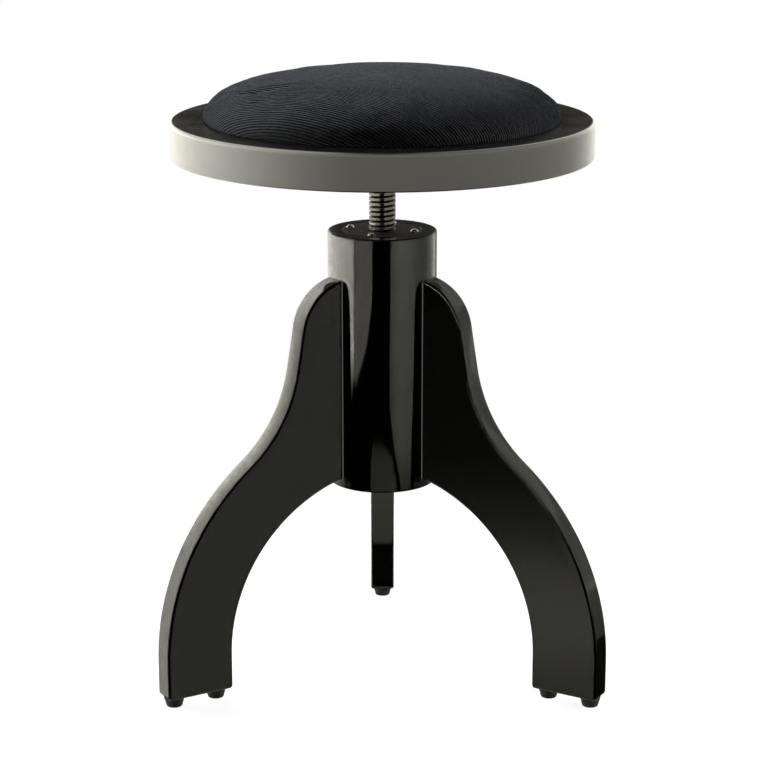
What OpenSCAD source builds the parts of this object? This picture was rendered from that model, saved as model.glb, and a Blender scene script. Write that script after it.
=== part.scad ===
// Revolving piano stool: three-legged base, screw spindle and round upholstered seat.
// Millimetres, +Z up, floor at zero, origin under the column's axis, rear leg toward +Y.
// The seat is drawn at the middle of its height travel.

/* [Column] */
// Diameter of the turned column
column_d = 94; // [84:1:110]
// Length of the column
column_len = 223; // [200:1:240]
// Height of the column's underside above the floor
column_low = 173; // [165:1:185]
// Rounding of the column's two rims
column_round = 1.5; // [0.5:0.5:3]
// Bore in which the screw and its stop washer travel
column_bore_d = 44; // [40:1:48]
// Thickness of the plug in the bore's lower end
plug_t = 12; // [6:1:20]

/* [Legs] */
// Thickness of the board that the legs are sawn from
leg_t = 22; // [18:1:28]
// Distance from the column's axis to the outermost edge of a foot
leg_reach = 216; // [200:1:230]
// Width of a foot, measured outward
foot_w = 59.2; // [50:0.1:70]
// Height above the floor up to which a foot's two sides are straight
post_h = 40; // [32:1:48]
// Rounding of a foot's two lower corners
foot_corner = 3; // [1:0.5:6]
// Radius of the long outer arc above the foot
foot_round = 210; // [195:1:225]
// Radius of the hollow outer arc at the waist
waist_round = 125; // [110:1:140]
// Lean of the straight neck, in degrees from upright
neck_lean = 10; // [8:0.5:12]
// Radius of the shoulder arc
shoulder_round = 48.5; // [44:0.5:54]
// Distance from the column's axis to the shoulder's outermost edge
shoulder_reach = 83.8; // [80:0.1:90]
// Depth of the shoulder arc's centre below the column's top
shoulder_drop = 85.3; // [78:0.1:92]
// Height above the column's underside at which a leg's inner arch meets it
arch_rise = 8; // [4:0.5:16]

/* [Dowels] */
// Diameter of a leg dowel
dowel_d = 10; // [6:1:12]
// Depth of a dowel in the column
dowel_in_column = 18; // [10:1:20]
// Depth of a dowel in the leg
dowel_in_leg = 22; // [14:1:24]

/* [Glides] */
// Height of a rubber glide
glide_h = 8.5; // [6:0.5:12]
// Diameter of a glide where it meets the foot
glide_top_d = 17; // [14:0.5:20]
// Diameter of a glide on the floor
glide_low_d = 12.4; // [9.6:0.2:14]
// Distance from the foot's outer side to the outer glide's axis
outer_glide_inset = 9.4; // [9:0.1:14]
// Distance from the foot's inner side to the inner glide's axis
inner_glide_inset = 10.3; // [9:0.1:14]
// Diameter of a glide nail's shank
nail_d = 2.4; // [1.8:0.1:3]
// Diameter of a glide nail's head
nail_head_d = 5.6; // [4:0.1:6.4]
// Thickness of a glide nail's head
nail_head_t = 1.2; // [0.8:0.1:2]
// Depth of the pocket that hides a nail's head
nail_pocket = 2.4; // [2.2:0.1:4]
// Depth of a glide nail in the foot
nail_in_foot = 16; // [10:1:25]

/* [Nut flange] */
// Diameter of the plate in the column's top
nut_plate_d = 68; // [66:1:74]
// Thickness of that plate
nut_plate_t = 4; // [3:0.5:6]
// Diameter of the threaded boss below the plate
nut_boss_d = 36; // [32:1:38]
// Length of the boss below the plate
nut_boss_len = 32; // [24:1:40]
// Diameter of the circle of the plate's screws
nut_screw_circle = 58; // [56:1:58]
// Turn of the plate's first screw from +X, in degrees
nut_screw_turn = 67; // [0:1:89]
// Length of the plate's screws below their heads
nut_screw_len = 26; // [20:1:32]

/* [Screws] */
// Diameter of a wood screw's shank
screw_d = 3.8; // [3:0.1:4.4]
// Diameter of a wood screw's round head
screw_head_d = 7.4; // [6:0.1:8]
// Height of a wood screw's round head
screw_head_h = 2.7; // [2.2:0.1:3]
// Depth of the cross recess in a head
screw_cross_depth = 1.5; // [0.8:0.1:1.8]

/* [Spindle] */
// Outside diameter of the screw thread
spindle_d = 23; // [20:0.5:25]
// Depth of the thread
thread_depth = 2.1; // [1.4:0.1:2.6]
// Rise of the seat in one turn
thread_pitch = 4.25; // [3.5:0.05:5]
// Turn of the thread about its axis, in degrees
thread_turn = 0; // [0:5:355]
// Whole turns from the drawn height up to the stop
turns_up = 12; // [6:1:14]
// Whole turns from the drawn height down to the lowest seat
turns_down = 13; // [6:1:14]
// Diameter of the bolt that holds the stop washer
stop_bolt_d = 8; // [6:0.5:10]
// Depth of that bolt in the screw's lower end
stop_bolt_in = 22; // [14:1:40]
// Height of the stop bolt's hexagonal head
stop_bolt_head_h = 5.4; // [4:0.2:8]
// Width of that head across its corners
stop_bolt_head_d = 15; // [13:0.5:18]
// Thickness of the stop washer
stop_washer_t = 3; // [2:0.5:5]

/* [Seat flange] */
// Diameter of the steel disc under the seat
flange_d = 120; // [108:1:140]
// Thickness of the disc
flange_t = 4; // [3:0.5:4]
// Height of the weld around the screw under the disc
weld_h = 4; // [2:0.5:4]
// Width of the weld around the screw
weld_w = 5; // [3:0.5:7]
// Diameter of the circle of the disc's screws
flange_screw_circle = 92; // [70:1:96]
// Length of the disc's screws from head to tip
flange_screw_len = 20; // [14:1:24]
// Clearance between the disc and the screw heads below it with the seat at its lowest
low_gap = 3.05; // [2.55:0.05:6]

/* [Seat board] */
// Diameter of the turned seat board
seat_d = 360; // [330:1:380]
// Thickness of the seat board
seat_t = 31; // [28:1:36]
// Rounding of the board's upper edge
seat_top_round = 4.5; // [2:0.5:7]
// Rounding of the board's lower edge
seat_low_round = 3; // [1:0.5:5]
// Depth of the recess that holds the pad
recess_depth = 8; // [6:0.5:10]

/* [Pad] */
// Diameter of the pad at its widest
pad_d = 303.6; // [280:0.2:310]
// Height of the pad's widest line above the board
pad_swell = 2.5; // [1.5:0.5:5]
// How far the pad's side is drawn in where it enters the board
pad_tuck = 1.8; // [1:0.1:4]
// Height of the pad's crown above the board
pad_crown = 44.5; // [30:0.5:60]
// Fullness of the pad's side, two being an ellipse
pad_side_power = 2.53; // [2:0.01:4]
// Fullness of the pad's crown, two being an ellipse
pad_crown_power = 1.85; // [1.6:0.01:3]
// Thickness of the corduroy cover
cover_t = 1.5; // [1:0.1:2]
// Width of the cover's hem under the plywood
hem_w = 26; // [18:1:40]
// Thickness of the plywood
pad_base_t = 8; // [6:0.5:9]
// Diameter of the circle of the pad's screws
pad_screw_circle = 200; // [160:1:220]
// Length of the pad's screws below their heads
pad_screw_len = 30; // [28:1:31]
// Number of staples around the hem
staple_count = 20; // [12:1:28]
// Width of a staple's crown
staple_w = 10; // [6:1:12]
// Thickness of the staple wire
staple_wire = 0.8; // [0.6:0.1:1]
// Depth of a staple's legs above the hem's lower face
staple_leg = 7; // [5:0.5:7]

/* [Hidden] */

$fn = 96;
// Directions of the legs, in degrees from +X
left_turn = 210;
right_turn = 330;
rear_turn = 90;
leg_turns = [left_turn, right_turn, rear_turn];
// Number of screws on each circle of screws
screw_count = 4;
// Turn of the disc's first screw from +X, half a step so that it lies between the pad's screws
flange_screw_turn = 180 / screw_count;
// Clearance of a glued or pressed joint, on each side
glue_gap = 0.05;
// Clearance around cloth and foam
cloth_gap = 0.2;
// Radial and axial play between the screw and its nut
thread_play = 0.3;
// Loose play above and below the stop washer, and on its bolt
washer_play = 0.3;
// Clearance between the stop washer and the column's bore
washer_side_gap = 2;
// Clearance between the pad and the edge of its recess
recess_gap = 0.8;
// Overrun of cuts past the faces that they open
overrun = 1;
// Straight facets in one turn of the thread
thread_sides = 20;
// Share of a pitch that each flank takes, measured along the axis
flank_share = 0.28;
// Share of the thread's depth that is left at its two run-outs
runout_share = 0.12;
// Plain length at each end of a thread
plain_end = 1.5;
// Places of a leg's dowels, as shares of the height of its joint
dowel_shares = [0.18, 0.5, 0.82];
// Degrees between the points of a leg's arcs
arc_step = 3;
// Degrees between the points of a rounded edge
round_step = 15;
// Steps along the pad's crown
crown_steps = 20;
// Degrees between the points along the pad's drawn-in side
swell_step = 22.5;
// Width of a screw's cross recess, and length of a screw's point, as shares of the shank
cross_width_share = 0.3;
point_share = 1.2;
// Length of the cross recess as a share of the head's diameter
cross_length_share = 0.56;

column_top = column_low + column_len;
column_r = column_d / 2;
boss_low = column_top - nut_plate_t - nut_boss_len;
travel_up = turns_up * thread_pitch;
travel_down = turns_down * thread_pitch;
thread_root_r = spindle_d / 2 - thread_depth;
washer_top = boss_low - travel_up - washer_play;
washer_low = washer_top - stop_washer_t;
spindle_low = washer_top + washer_play;

flange_low = column_top + screw_head_h + low_gap + travel_down;
weld_low = flange_low - weld_h;
seat_low = flange_low + flange_t;
seat_top = seat_low + seat_t;
recess_floor = seat_top - recess_depth;

pad_r = pad_d / 2;
pad_low = recess_floor + cloth_gap;
pad_tuck_r = pad_r - pad_tuck;
pad_wide_z = seat_top + pad_swell;
pad_base_low = pad_low + cover_t + cloth_gap;
pad_base_top = pad_base_low + pad_base_t;
pad_base_r = pad_tuck_r - cover_t - cloth_gap;
hem_r = pad_tuck_r - hem_w;

// Centres of a leg's arcs, as outward distance and height
arch_reach = leg_reach - foot_w;
arch_meet_z = column_low + arch_rise;
arch_across = arch_reach - column_r;
arch_up = arch_meet_z - post_h;
arch_round = (arch_across ^ 2 + arch_up ^ 2) / (2 * arch_across);
arch_centre = [arch_reach - arch_round, post_h];
foot_centre = [leg_reach - foot_round, post_h];
shoulder_centre = [shoulder_reach - shoulder_round, column_top - shoulder_drop];
neck_out = [cos(neck_lean), sin(neck_lean)];
neck_down = [sin(neck_lean), -cos(neck_lean)];
neck_start = shoulder_centre + (shoulder_round + waist_round) * neck_out;
neck_slope = neck_down * (neck_start - foot_centre);
neck_rest = norm(neck_start - foot_centre) ^ 2 - (foot_round + waist_round) ^ 2;
neck_len = -neck_slope - sqrt(neck_slope ^ 2 - neck_rest);
waist_centre = neck_start + neck_len * neck_down;
foot_meet_angle = atan2(waist_centre.y - foot_centre.y, waist_centre.x - foot_centre.x);
shoulder_meet_z = shoulder_centre.y + sqrt(shoulder_round ^ 2 - (column_r - shoulder_centre.x) ^ 2);
joint_h = shoulder_meet_z - arch_meet_z;
// Outward distance at which a leg's outline ends, inside the column
leg_root = column_r - leg_t / 2;
arch_end_angle = acos((leg_root - arch_centre.x) / arch_round);
glide_places = [leg_reach - outer_glide_inset, arch_reach + inner_glide_inset];

// Points of an arc, both ends included
function arc(centre, r, from, to, step = arc_step) =
    let (n = ceil(abs(to - from) / step))
    [for (i = [0 : n]) let (a = from + (to - from) * i / n) centre + r * [cos(a), sin(a)]];

// Profile of a turned disc with rounded rims, from the axis outward
function turned_outline(r, low, high, low_round, high_round) =
    concat([[0, low]],
           arc([r - low_round, low + low_round], low_round, -90, 0, round_step),
           arc([r - high_round, high - high_round], high_round, 0, 90, round_step),
           [[0, high]]);

// Profile of the pad, drawn in by an inset on every side
function pad_outline(inset) =
    concat([[0, pad_low + inset], [pad_tuck_r - inset, pad_low + inset]],
           [for (a = [90 : -swell_step : swell_step])
               [pad_tuck_r + pad_tuck * cos(a) - inset, pad_wide_z - pad_swell * sin(a)]],
           [for (i = [0 : crown_steps])
               let (a = 90 * (1 - i / crown_steps))
               [(pad_r - inset) * sin(a) ^ (2 / pad_side_power),
                pad_wide_z + (pad_crown - pad_swell - inset) * cos(a) ^ (2 / pad_crown_power)]]);

// Outline of a leg in its own plane: shoulder, neck, waist, foot and inner arch
function leg_outline() =
    concat([[leg_root, shoulder_centre.y + shoulder_round]],
           arc(shoulder_centre, shoulder_round, 90, neck_lean),
           arc(waist_centre, waist_round, 180 + neck_lean, 180 + foot_meet_angle),
           arc(foot_centre, foot_round, foot_meet_angle, 0),
           arc([leg_reach - foot_corner, glide_h + foot_corner], foot_corner, 0, -90, round_step),
           arc([arch_reach + foot_corner, glide_h + foot_corner], foot_corner, -90, -180, round_step),
           arc(arch_centre, arch_round, 0, arch_end_angle));

// Rod with a right-hand helical thread between two plain ends
module threaded_rod(root_r, crest_r, flank, low, high) {
    n = thread_sides;
    rise = thread_pitch / n;
    start = low + plain_end;
    steps = floor((high - plain_end - thread_pitch - start) / rise);
    first_angle = thread_turn + 360 * (start / thread_pitch + 1 / 2);
    function at(i, r, z) = [r * cos(first_angle + 360 * i / n), r * sin(first_angle + 360 * i / n), z];
    function fade(i) = min(1, runout_share + 2 * min(i, steps - i) / n);
    function crest(i) = root_r + (crest_r - root_r) * fade(i);
    points = concat([for (i = [0 : steps + n]) at(i, root_r, start + rise * i)],
                    [for (i = [0 : steps]) at(i, crest(i), start + rise * i + flank)],
                    [for (i = [0 : steps]) at(i, crest(i), start + rise * i + thread_pitch - flank)],
                    [for (i = [0 : n - 1]) at(i, root_r, low)],
                    [for (i = [0 : n - 1]) at(steps + i, root_r, high)]);
    edge = steps + n + 1;
    crown = edge + steps + 1;
    floor_ring = crown + steps + 1;
    roof_ring = floor_ring + n;
    flanks = [for (i = [0 : steps - 1]) each [
        [edge + i, edge + i + 1, i], [edge + i + 1, i + 1, i],
        [crown + i, crown + i + 1, edge + i], [crown + i + 1, edge + i + 1, edge + i],
        [i + n, i + n + 1, crown + i], [i + n + 1, crown + i + 1, crown + i]]];
    floor_walls = [for (i = [0 : n - 2]) [i, i + 1, floor_ring + i + 1, floor_ring + i]];
    roof_walls = [for (i = [1 : n - 1])
        [roof_ring + i, roof_ring + (i + 1) % n, steps + i + 1, steps + i]];
    ends = [[n - 1, n, 0], [n - 1, 0, floor_ring], [n - 1, floor_ring, floor_ring + n - 1],
            [0, n, crown], [0, crown, edge],
            [steps + 1, steps, steps + n], [steps + 1, steps + n, roof_ring],
            [steps + 1, roof_ring, roof_ring + 1],
            [steps, edge + steps, crown + steps], [steps, crown + steps, steps + n],
            [for (i = [0 : n - 1]) floor_ring + i],
            [for (i = [n - 1 : -1 : 0]) roof_ring + i]];
    polyhedron(points, concat(flanks, floor_walls, roof_walls, ends), convexity = 10);
}

// Places of the screws on a circle
module around(circle_d, turn) {
    for (i = [0 : screw_count - 1])
        rotate([0, 0, turn + i * 360 / screw_count])
            translate([circle_d / 2, 0, 0])
                children();
}

// Shank and point of a wood screw below zero, with clearance on request
module screw_shank(len, gap = 0) {
    point = point_share * screw_d;
    translate([0, 0, point - len])
        cylinder(d = screw_d + 2 * gap, h = len - point);
    translate([0, 0, -len])
        cylinder(d1 = 2 * gap, d2 = screw_d + 2 * gap, h = point);
}

// Hole for a wood screw, cut past the face at zero
module screw_hole(len) {
    screw_shank(len, glue_gap);
    translate([0, 0, -overrun])
        cylinder(d = screw_d + 2 * glue_gap, h = 2 * overrun);
}

// Wood screw with a round cross-recess head that stands on zero
module wood_screw(len) {
    head_r = screw_head_d / 2;
    ball_r = (head_r ^ 2 + screw_head_h ^ 2) / (2 * screw_head_h);
    screw_shank(len);
    difference() {
        intersection() {
            translate([0, 0, screw_head_h - ball_r])
                sphere(r = ball_r);
            cylinder(r = head_r, h = screw_head_h);
        }
        for (a = [0, 90])
            rotate([0, 0, a])
                translate([0, 0, screw_head_h])
                    cube([screw_head_d * cross_length_share,
                          screw_d * cross_width_share,
                          2 * screw_cross_depth], center = true);
    }
}

// Dowels of the leg at one direction, with clearance on request
module dowel_set(turn, gap = 0) {
    for (share = dowel_shares)
        rotate([0, 0, turn])
            translate([column_r - dowel_in_column - gap, 0, arch_meet_z + joint_h * share])
                rotate([0, 90, 0])
                    cylinder(d = dowel_d + 2 * gap, h = dowel_in_column + dowel_in_leg + 2 * gap);
}

// Places of the two glides under the foot at one direction
module glide_sites(turn) {
    for (place = glide_places)
        rotate([0, 0, turn])
            translate([place, 0, 0])
                children();
}

// Glide nail from its head up into the foot, with clearance on request
module glide_nail(gap = 0) {
    translate([0, 0, nail_pocket - nail_head_t])
        cylinder(d = nail_head_d + 2 * gap, h = nail_head_t);
    translate([0, 0, nail_pocket])
        cylinder(d = nail_d + 2 * gap, h = glide_h - nail_pocket + nail_in_foot + gap);
}

// Staples around the hem, with clearance on request
module staple_set(gap = 0) {
    staple_r = (hem_r + pad_base_r) / 2;
    leg_shift = (staple_w - staple_wire) / 2;
    for (i = [0 : staple_count - 1])
        rotate([0, 0, i * 360 / staple_count])
            translate([staple_r, 0, pad_low - gap]) {
                translate([-staple_wire / 2 - gap, -staple_w / 2 - gap, 0])
                    cube([staple_wire + 2 * gap, staple_w + 2 * gap, staple_wire + 2 * gap]);
                for (side = [-1, 1])
                    translate([-staple_wire / 2 - gap, side * leg_shift - staple_wire / 2 - gap, 0])
                        cube([staple_wire + 2 * gap, staple_wire + 2 * gap, staple_leg + 2 * gap]);
            }
}

module column() {
    color([0.06, 0.06, 0.055])
        difference() {
            rotate_extrude()
                polygon(turned_outline(column_r, column_low, column_top, column_round, column_round));
            translate([0, 0, column_low - overrun])
                cylinder(d = column_bore_d, h = column_len + 2 * overrun);
            translate([0, 0, column_top - nut_plate_t])
                cylinder(d = nut_plate_d + 2 * glue_gap, h = nut_plate_t + overrun);
            around(nut_screw_circle, nut_screw_turn)
                translate([0, 0, column_top])
                    screw_hole(nut_screw_len);
            for (turn = leg_turns)
                dowel_set(turn, glue_gap);
        }
}

module bottom_plug() {
    color([0.45, 0.36, 0.25])
        translate([0, 0, column_low])
            cylinder(d = column_bore_d - 2 * glue_gap, h = plug_t);
}

module nut_flange() {
    color([0.05, 0.05, 0.05])
        difference() {
            union() {
                translate([0, 0, column_top - nut_plate_t])
                    cylinder(d = nut_plate_d, h = nut_plate_t);
                translate([0, 0, boss_low])
                    cylinder(d = nut_boss_d, h = nut_boss_len + nut_plate_t / 2);
            }
            threaded_rod(thread_root_r + thread_play, spindle_d / 2 + thread_play,
                         flank_share * thread_pitch - thread_play,
                         boss_low - 2 * thread_pitch - plain_end,
                         column_top + 2 * thread_pitch + plain_end);
            around(nut_screw_circle, nut_screw_turn)
                translate([0, 0, column_top])
                    screw_hole(nut_screw_len);
        }
}

module nut_flange_screws() {
    color([0.75, 0.74, 0.7])
        around(nut_screw_circle, nut_screw_turn)
            translate([0, 0, column_top])
                wood_screw(nut_screw_len);
}

// Leg at one direction, coped to the column and drilled for its dowels and nails
module leg(turn) {
    color([0.06, 0.06, 0.055])
        difference() {
            rotate([0, 0, turn])
                rotate([90, 0, 0])
                    linear_extrude(height = leg_t, center = true)
                        polygon(leg_outline());
            translate([0, 0, column_low])
                cylinder(r = column_r + glue_gap, h = column_len);
            dowel_set(turn, glue_gap);
            glide_sites(turn)
                glide_nail(glue_gap);
        }
}

module leg_left() leg(left_turn);

module leg_right() leg(right_turn);

module leg_rear() leg(rear_turn);

// Dowels in one leg's joint
module dowels(turn) {
    color([0.78, 0.65, 0.46])
        dowel_set(turn);
}

module dowels_left() dowels(left_turn);

module dowels_right() dowels(right_turn);

module dowels_rear() dowels(rear_turn);

// Two rubber glides under one foot, each with a pocket for its nail
module glides(turn) {
    color([0.03, 0.03, 0.03])
        glide_sites(turn)
            difference() {
                cylinder(d1 = glide_low_d, d2 = glide_top_d, h = glide_h);
                glide_nail(glue_gap);
                translate([0, 0, -overrun])
                    cylinder(d = nail_head_d + 2 * glue_gap, h = nail_pocket + overrun);
            }
}

module glides_left() glides(left_turn);

module glides_right() glides(right_turn);

module glides_rear() glides(rear_turn);

module glide_nails() {
    color([0.6, 0.6, 0.6])
        for (turn = leg_turns)
            glide_sites(turn)
                glide_nail();
}

module stop_washer() {
    color([0.55, 0.55, 0.55])
        translate([0, 0, washer_low])
            difference() {
                cylinder(d = column_bore_d - 2 * washer_side_gap, h = stop_washer_t);
                translate([0, 0, -overrun])
                    cylinder(d = stop_bolt_d + 2 * washer_play, h = stop_washer_t + 2 * overrun);
            }
}

module spindle() {
    color([0.62, 0.61, 0.58])
        difference() {
            union() {
                threaded_rod(thread_root_r, spindle_d / 2, flank_share * thread_pitch,
                             spindle_low, weld_low);
                translate([0, 0, weld_low])
                    cylinder(r = thread_root_r - glue_gap, h = seat_low - weld_low);
            }
            translate([0, 0, spindle_low - overrun])
                cylinder(d = stop_bolt_d + 2 * glue_gap, h = stop_bolt_in + overrun + glue_gap);
        }
}

module stop_bolt() {
    head_top = washer_low - washer_play;
    color([0.6, 0.6, 0.6]) {
        translate([0, 0, head_top - stop_bolt_head_h])
            cylinder(d = stop_bolt_head_d, h = stop_bolt_head_h, $fn = 6);
        translate([0, 0, head_top])
            cylinder(d = stop_bolt_d, h = spindle_low + stop_bolt_in - head_top);
    }
}

module seat_flange() {
    color([0.1, 0.1, 0.1])
        difference() {
            union() {
                translate([0, 0, flange_low])
                    cylinder(d = flange_d, h = flange_t);
                translate([0, 0, weld_low])
                    cylinder(r1 = thread_root_r + weld_w / 2, r2 = thread_root_r + weld_w, h = weld_h);
            }
            translate([0, 0, weld_low - overrun])
                cylinder(r = thread_root_r, h = weld_h + flange_t + 2 * overrun);
            around(flange_screw_circle, flange_screw_turn)
                translate([0, 0, flange_low])
                    mirror([0, 0, 1])
                        screw_hole(flange_screw_len);
        }
}

module seat_flange_screws() {
    color([0.6, 0.6, 0.58])
        around(flange_screw_circle, flange_screw_turn)
            translate([0, 0, flange_low])
                mirror([0, 0, 1])
                    wood_screw(flange_screw_len);
}

module seat_board() {
    color([0.07, 0.07, 0.065])
        difference() {
            rotate_extrude()
                polygon(turned_outline(seat_d / 2, seat_low, seat_top, seat_low_round, seat_top_round));
            translate([0, 0, recess_floor])
                cylinder(r = pad_tuck_r + recess_gap, h = recess_depth + overrun);
            around(flange_screw_circle, flange_screw_turn)
                translate([0, 0, flange_low])
                    mirror([0, 0, 1])
                        screw_hole(flange_screw_len);
            around(pad_screw_circle, 0)
                translate([0, 0, seat_low])
                    mirror([0, 0, 1])
                        screw_hole(pad_screw_len);
        }
}

module pad_base() {
    color([0.72, 0.58, 0.4])
        difference() {
            translate([0, 0, pad_base_low])
                cylinder(r = pad_base_r, h = pad_base_t);
            staple_set(glue_gap);
            around(pad_screw_circle, 0)
                translate([0, 0, seat_low])
                    mirror([0, 0, 1])
                        screw_hole(pad_screw_len);
        }
}

module pad_foam() {
    color([0.85, 0.82, 0.7])
        rotate_extrude()
            difference() {
                polygon(pad_outline(cover_t + cloth_gap));
                translate([0, pad_low])
                    square([pad_r, pad_base_top + cloth_gap - pad_low]);
            }
}

module pad_cover() {
    color([0.09, 0.09, 0.095])
        difference() {
            rotate_extrude()
                difference() {
                    polygon(pad_outline(0));
                    polygon(pad_outline(cover_t));
                    translate([0, pad_low - overrun])
                        square([hem_r, cover_t + 2 * overrun]);
                }
            staple_set(glue_gap);
        }
}

module cover_staples() {
    color([0.7, 0.7, 0.7])
        staple_set();
}

module pad_screws() {
    color([0.6, 0.6, 0.58])
        around(pad_screw_circle, 0)
            translate([0, 0, seat_low])
                mirror([0, 0, 1])
                    wood_screw(pad_screw_len);
}

column();
bottom_plug();
nut_flange();
nut_flange_screws();
leg_left();
leg_right();
leg_rear();
dowels_left();
dowels_right();
dowels_rear();
glides_left();
glides_right();
glides_rear();
glide_nails();
stop_washer();
spindle();
stop_bolt();
seat_flange();
seat_flange_screws();
seat_board();
pad_base();
pad_foam();
pad_cover();
cover_staples();
pad_screws();
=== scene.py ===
# Revolving piano stool: the looks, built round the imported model.
from functools import partial
from math import acos, asin, atan2, ceil, cos, degrees, exp, pi, radians, sin, sqrt, tan
import bmesh
import bpy
import numpy as np
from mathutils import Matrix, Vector
from mathutils.bvhtree import BVHTree
from mathutils.noise import noise as noiseAt


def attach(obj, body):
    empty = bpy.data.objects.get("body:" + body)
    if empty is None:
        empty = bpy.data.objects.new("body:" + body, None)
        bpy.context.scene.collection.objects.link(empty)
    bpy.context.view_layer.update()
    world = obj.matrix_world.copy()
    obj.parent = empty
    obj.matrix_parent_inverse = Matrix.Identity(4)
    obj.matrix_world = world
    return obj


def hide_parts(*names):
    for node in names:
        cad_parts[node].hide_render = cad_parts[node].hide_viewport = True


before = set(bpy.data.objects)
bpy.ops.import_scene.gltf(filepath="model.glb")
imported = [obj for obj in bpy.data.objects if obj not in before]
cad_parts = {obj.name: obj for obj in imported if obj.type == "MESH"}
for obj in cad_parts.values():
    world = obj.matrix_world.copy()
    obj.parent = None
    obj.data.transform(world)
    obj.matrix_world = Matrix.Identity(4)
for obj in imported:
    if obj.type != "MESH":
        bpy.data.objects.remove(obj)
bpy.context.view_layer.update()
scene = bpy.context.scene
mm = 0.001
print("frame loaded,", len(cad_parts), "nodes")


# Meshes and modifiers

def linkObject(name, data):
    obj = bpy.data.objects.new(name, data)
    scene.collection.objects.link(obj)
    return obj


def linkMesh(name, points, faces):
    mesh = bpy.data.meshes.new(name)
    mesh.from_pydata([tuple(p) for p in points], [], faces)
    return linkObject(name, mesh)


def turnOutward(obj, merge=False):
    bm = bmesh.new()
    bm.from_mesh(obj.data)
    if merge:
        bmesh.ops.remove_doubles(bm, verts=bm.verts, dist=1e-7)
    bmesh.ops.recalc_face_normals(bm, faces=bm.faces)
    for face in bm.faces:
        face.smooth = True
    bm.to_mesh(obj.data)
    bm.free()


def faceOutward(obj, sharpAngle=40):
    # merges doubles, turns every face outward and keeps real corners crisp
    turnOutward(obj, merge=True)
    obj.data.set_sharp_from_angle(angle=radians(sharpAngle))


def stripFaces(rows, columns, closed=True):
    # the faces between neighbouring rows of points, where closed rows are rings
    faces = []
    for i in range(rows - 1):
        for k in range(columns if closed else columns - 1):
            j = (k + 1) % columns
            faces.append((i * columns + k, i * columns + j, (i + 1) * columns + j, (i + 1) * columns + k))
    return faces


def bakeModifiers(obj):
    depsgraph = bpy.context.evaluated_depsgraph_get()
    mesh = bpy.data.meshes.new_from_object(obj.evaluated_get(depsgraph))
    obj.modifiers.clear()
    obj.data = mesh


def keepFlats(obj):
    # large flat faces keep their own normal beside a rounded edge
    weigh = obj.modifiers.new("keepFlats", "WEIGHTED_NORMAL")
    weigh.mode = "FACE_AREA"
    weigh.weight = 90
    weigh.keep_sharp = True
    bakeModifiers(obj)


def fitPiece(obj, body, material, slotName, *nodes):
    obj.data.materials.clear()
    obj.data.materials.append(material)
    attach(obj, body)
    if nodes:
        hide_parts(*nodes)
    return obj


def roundCorners(corners, steps=6):
    # corners are (across, up, radius) in millimetres
    line = []
    for i, (x, y, radius) in enumerate(corners):
        here = Vector((x, y))
        if radius == 0:
            line.append((x, y))
            continue
        before = (Vector(corners[i - 1][:2]) - here).normalized()
        after = (Vector(corners[(i + 1) % len(corners)][:2]) - here).normalized()
        half = before.angle(after) / 2
        centre = here + (before + after).normalized() * (radius / sin(half))
        start = here + before * (radius / tan(half)) - centre
        end = here + after * (radius / tan(half)) - centre
        first = atan2(start.y, start.x)
        sweep = (atan2(end.y, end.x) - first + pi) % (2 * pi) - pi
        for k in range(steps + 1):
            angle = first + sweep * k / steps
            line.append((centre.x + radius * cos(angle), centre.y + radius * sin(angle)))
    return line


def turnShape(name, line, steps=160, closed=True):
    # revolves a line of (radius, height) in millimetres round the upright axis
    points, rings, faces = [], [], []
    for radius, height in line:
        if radius < 1e-6:
            rings.append([len(points)])
            points.append((0, 0, height * mm))
            continue
        rings.append(list(range(len(points), len(points) + steps)))
        for k in range(steps):
            angle = 2 * pi * k / steps
            points.append((radius * mm * cos(angle), radius * mm * sin(angle), height * mm))
    following = rings[1:] + (rings[:1] if closed else [])
    for low, high in zip(rings, following):
        for k in range(steps):
            j = (k + 1) % steps
            corner = [low[k % len(low)], low[j % len(low)], high[j % len(high)], high[k % len(high)]]
            corner = list(dict.fromkeys(corner))
            if len(corner) > 2:
                faces.append(corner)
    obj = linkMesh(name, points, faces)
    faceOutward(obj)
    return obj


def turnPiece(name, corners, body, material, slotName, node, steps=160, closed=True, cornerSteps=6):
    piece = turnShape(name, roundCorners(corners, cornerSteps), steps, closed)
    keepFlats(piece)
    return fitPiece(piece, body, material, slotName, node)


def arcPoints(centre, radius, start, end, spacing=2.5):
    count = max(3, ceil(radius * abs(radians(end - start)) / spacing))
    angles = [radians(start + (end - start) * k / count) for k in range(count + 1)]
    return [(centre[0] + radius * cos(a), centre[1] + radius * sin(a)) for a in angles]


# Node trees

def put(tree, kind, inputs=None, **settings):
    item = tree.nodes.new(kind)
    for key, value in settings.items():
        setattr(item, key, value)
    for key, value in (inputs or {}).items():
        if isinstance(value, bpy.types.NodeSocket):
            tree.links.new(value, item.inputs[key])
        else:
            item.inputs[key].default_value = value
    return item


def treeOf(terms):
    return next(term.id_data for term in terms if isinstance(term, bpy.types.NodeSocket))


def calc(operation, *terms):
    return put(treeOf(terms), "ShaderNodeMath", dict(enumerate(terms)), operation=operation).outputs[0]


times, plus, minus, over = (partial(calc, name) for name in ("MULTIPLY", "ADD", "SUBTRACT", "DIVIDE"))
timesPlus = partial(calc, "MULTIPLY_ADD")


def vector(*parts):
    return put(treeOf(parts), "ShaderNodeCombineXYZ", dict(enumerate(parts))).outputs[0]


def spread(value, low, high, toLow=0.0, toHigh=1.0, style="LINEAR"):
    inputs = {"Value": value, "From Min": low, "From Max": high, "To Min": toLow, "To Max": toHigh}
    return put(value.id_data, "ShaderNodeMapRange", inputs, interpolation_type=style, clamp=True).outputs["Result"]


def mixColor(factor, first, second):
    return put(factor.id_data, "ShaderNodeMix", {0: factor, 6: first, 7: second}, data_type="RGBA").outputs[2]


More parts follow.
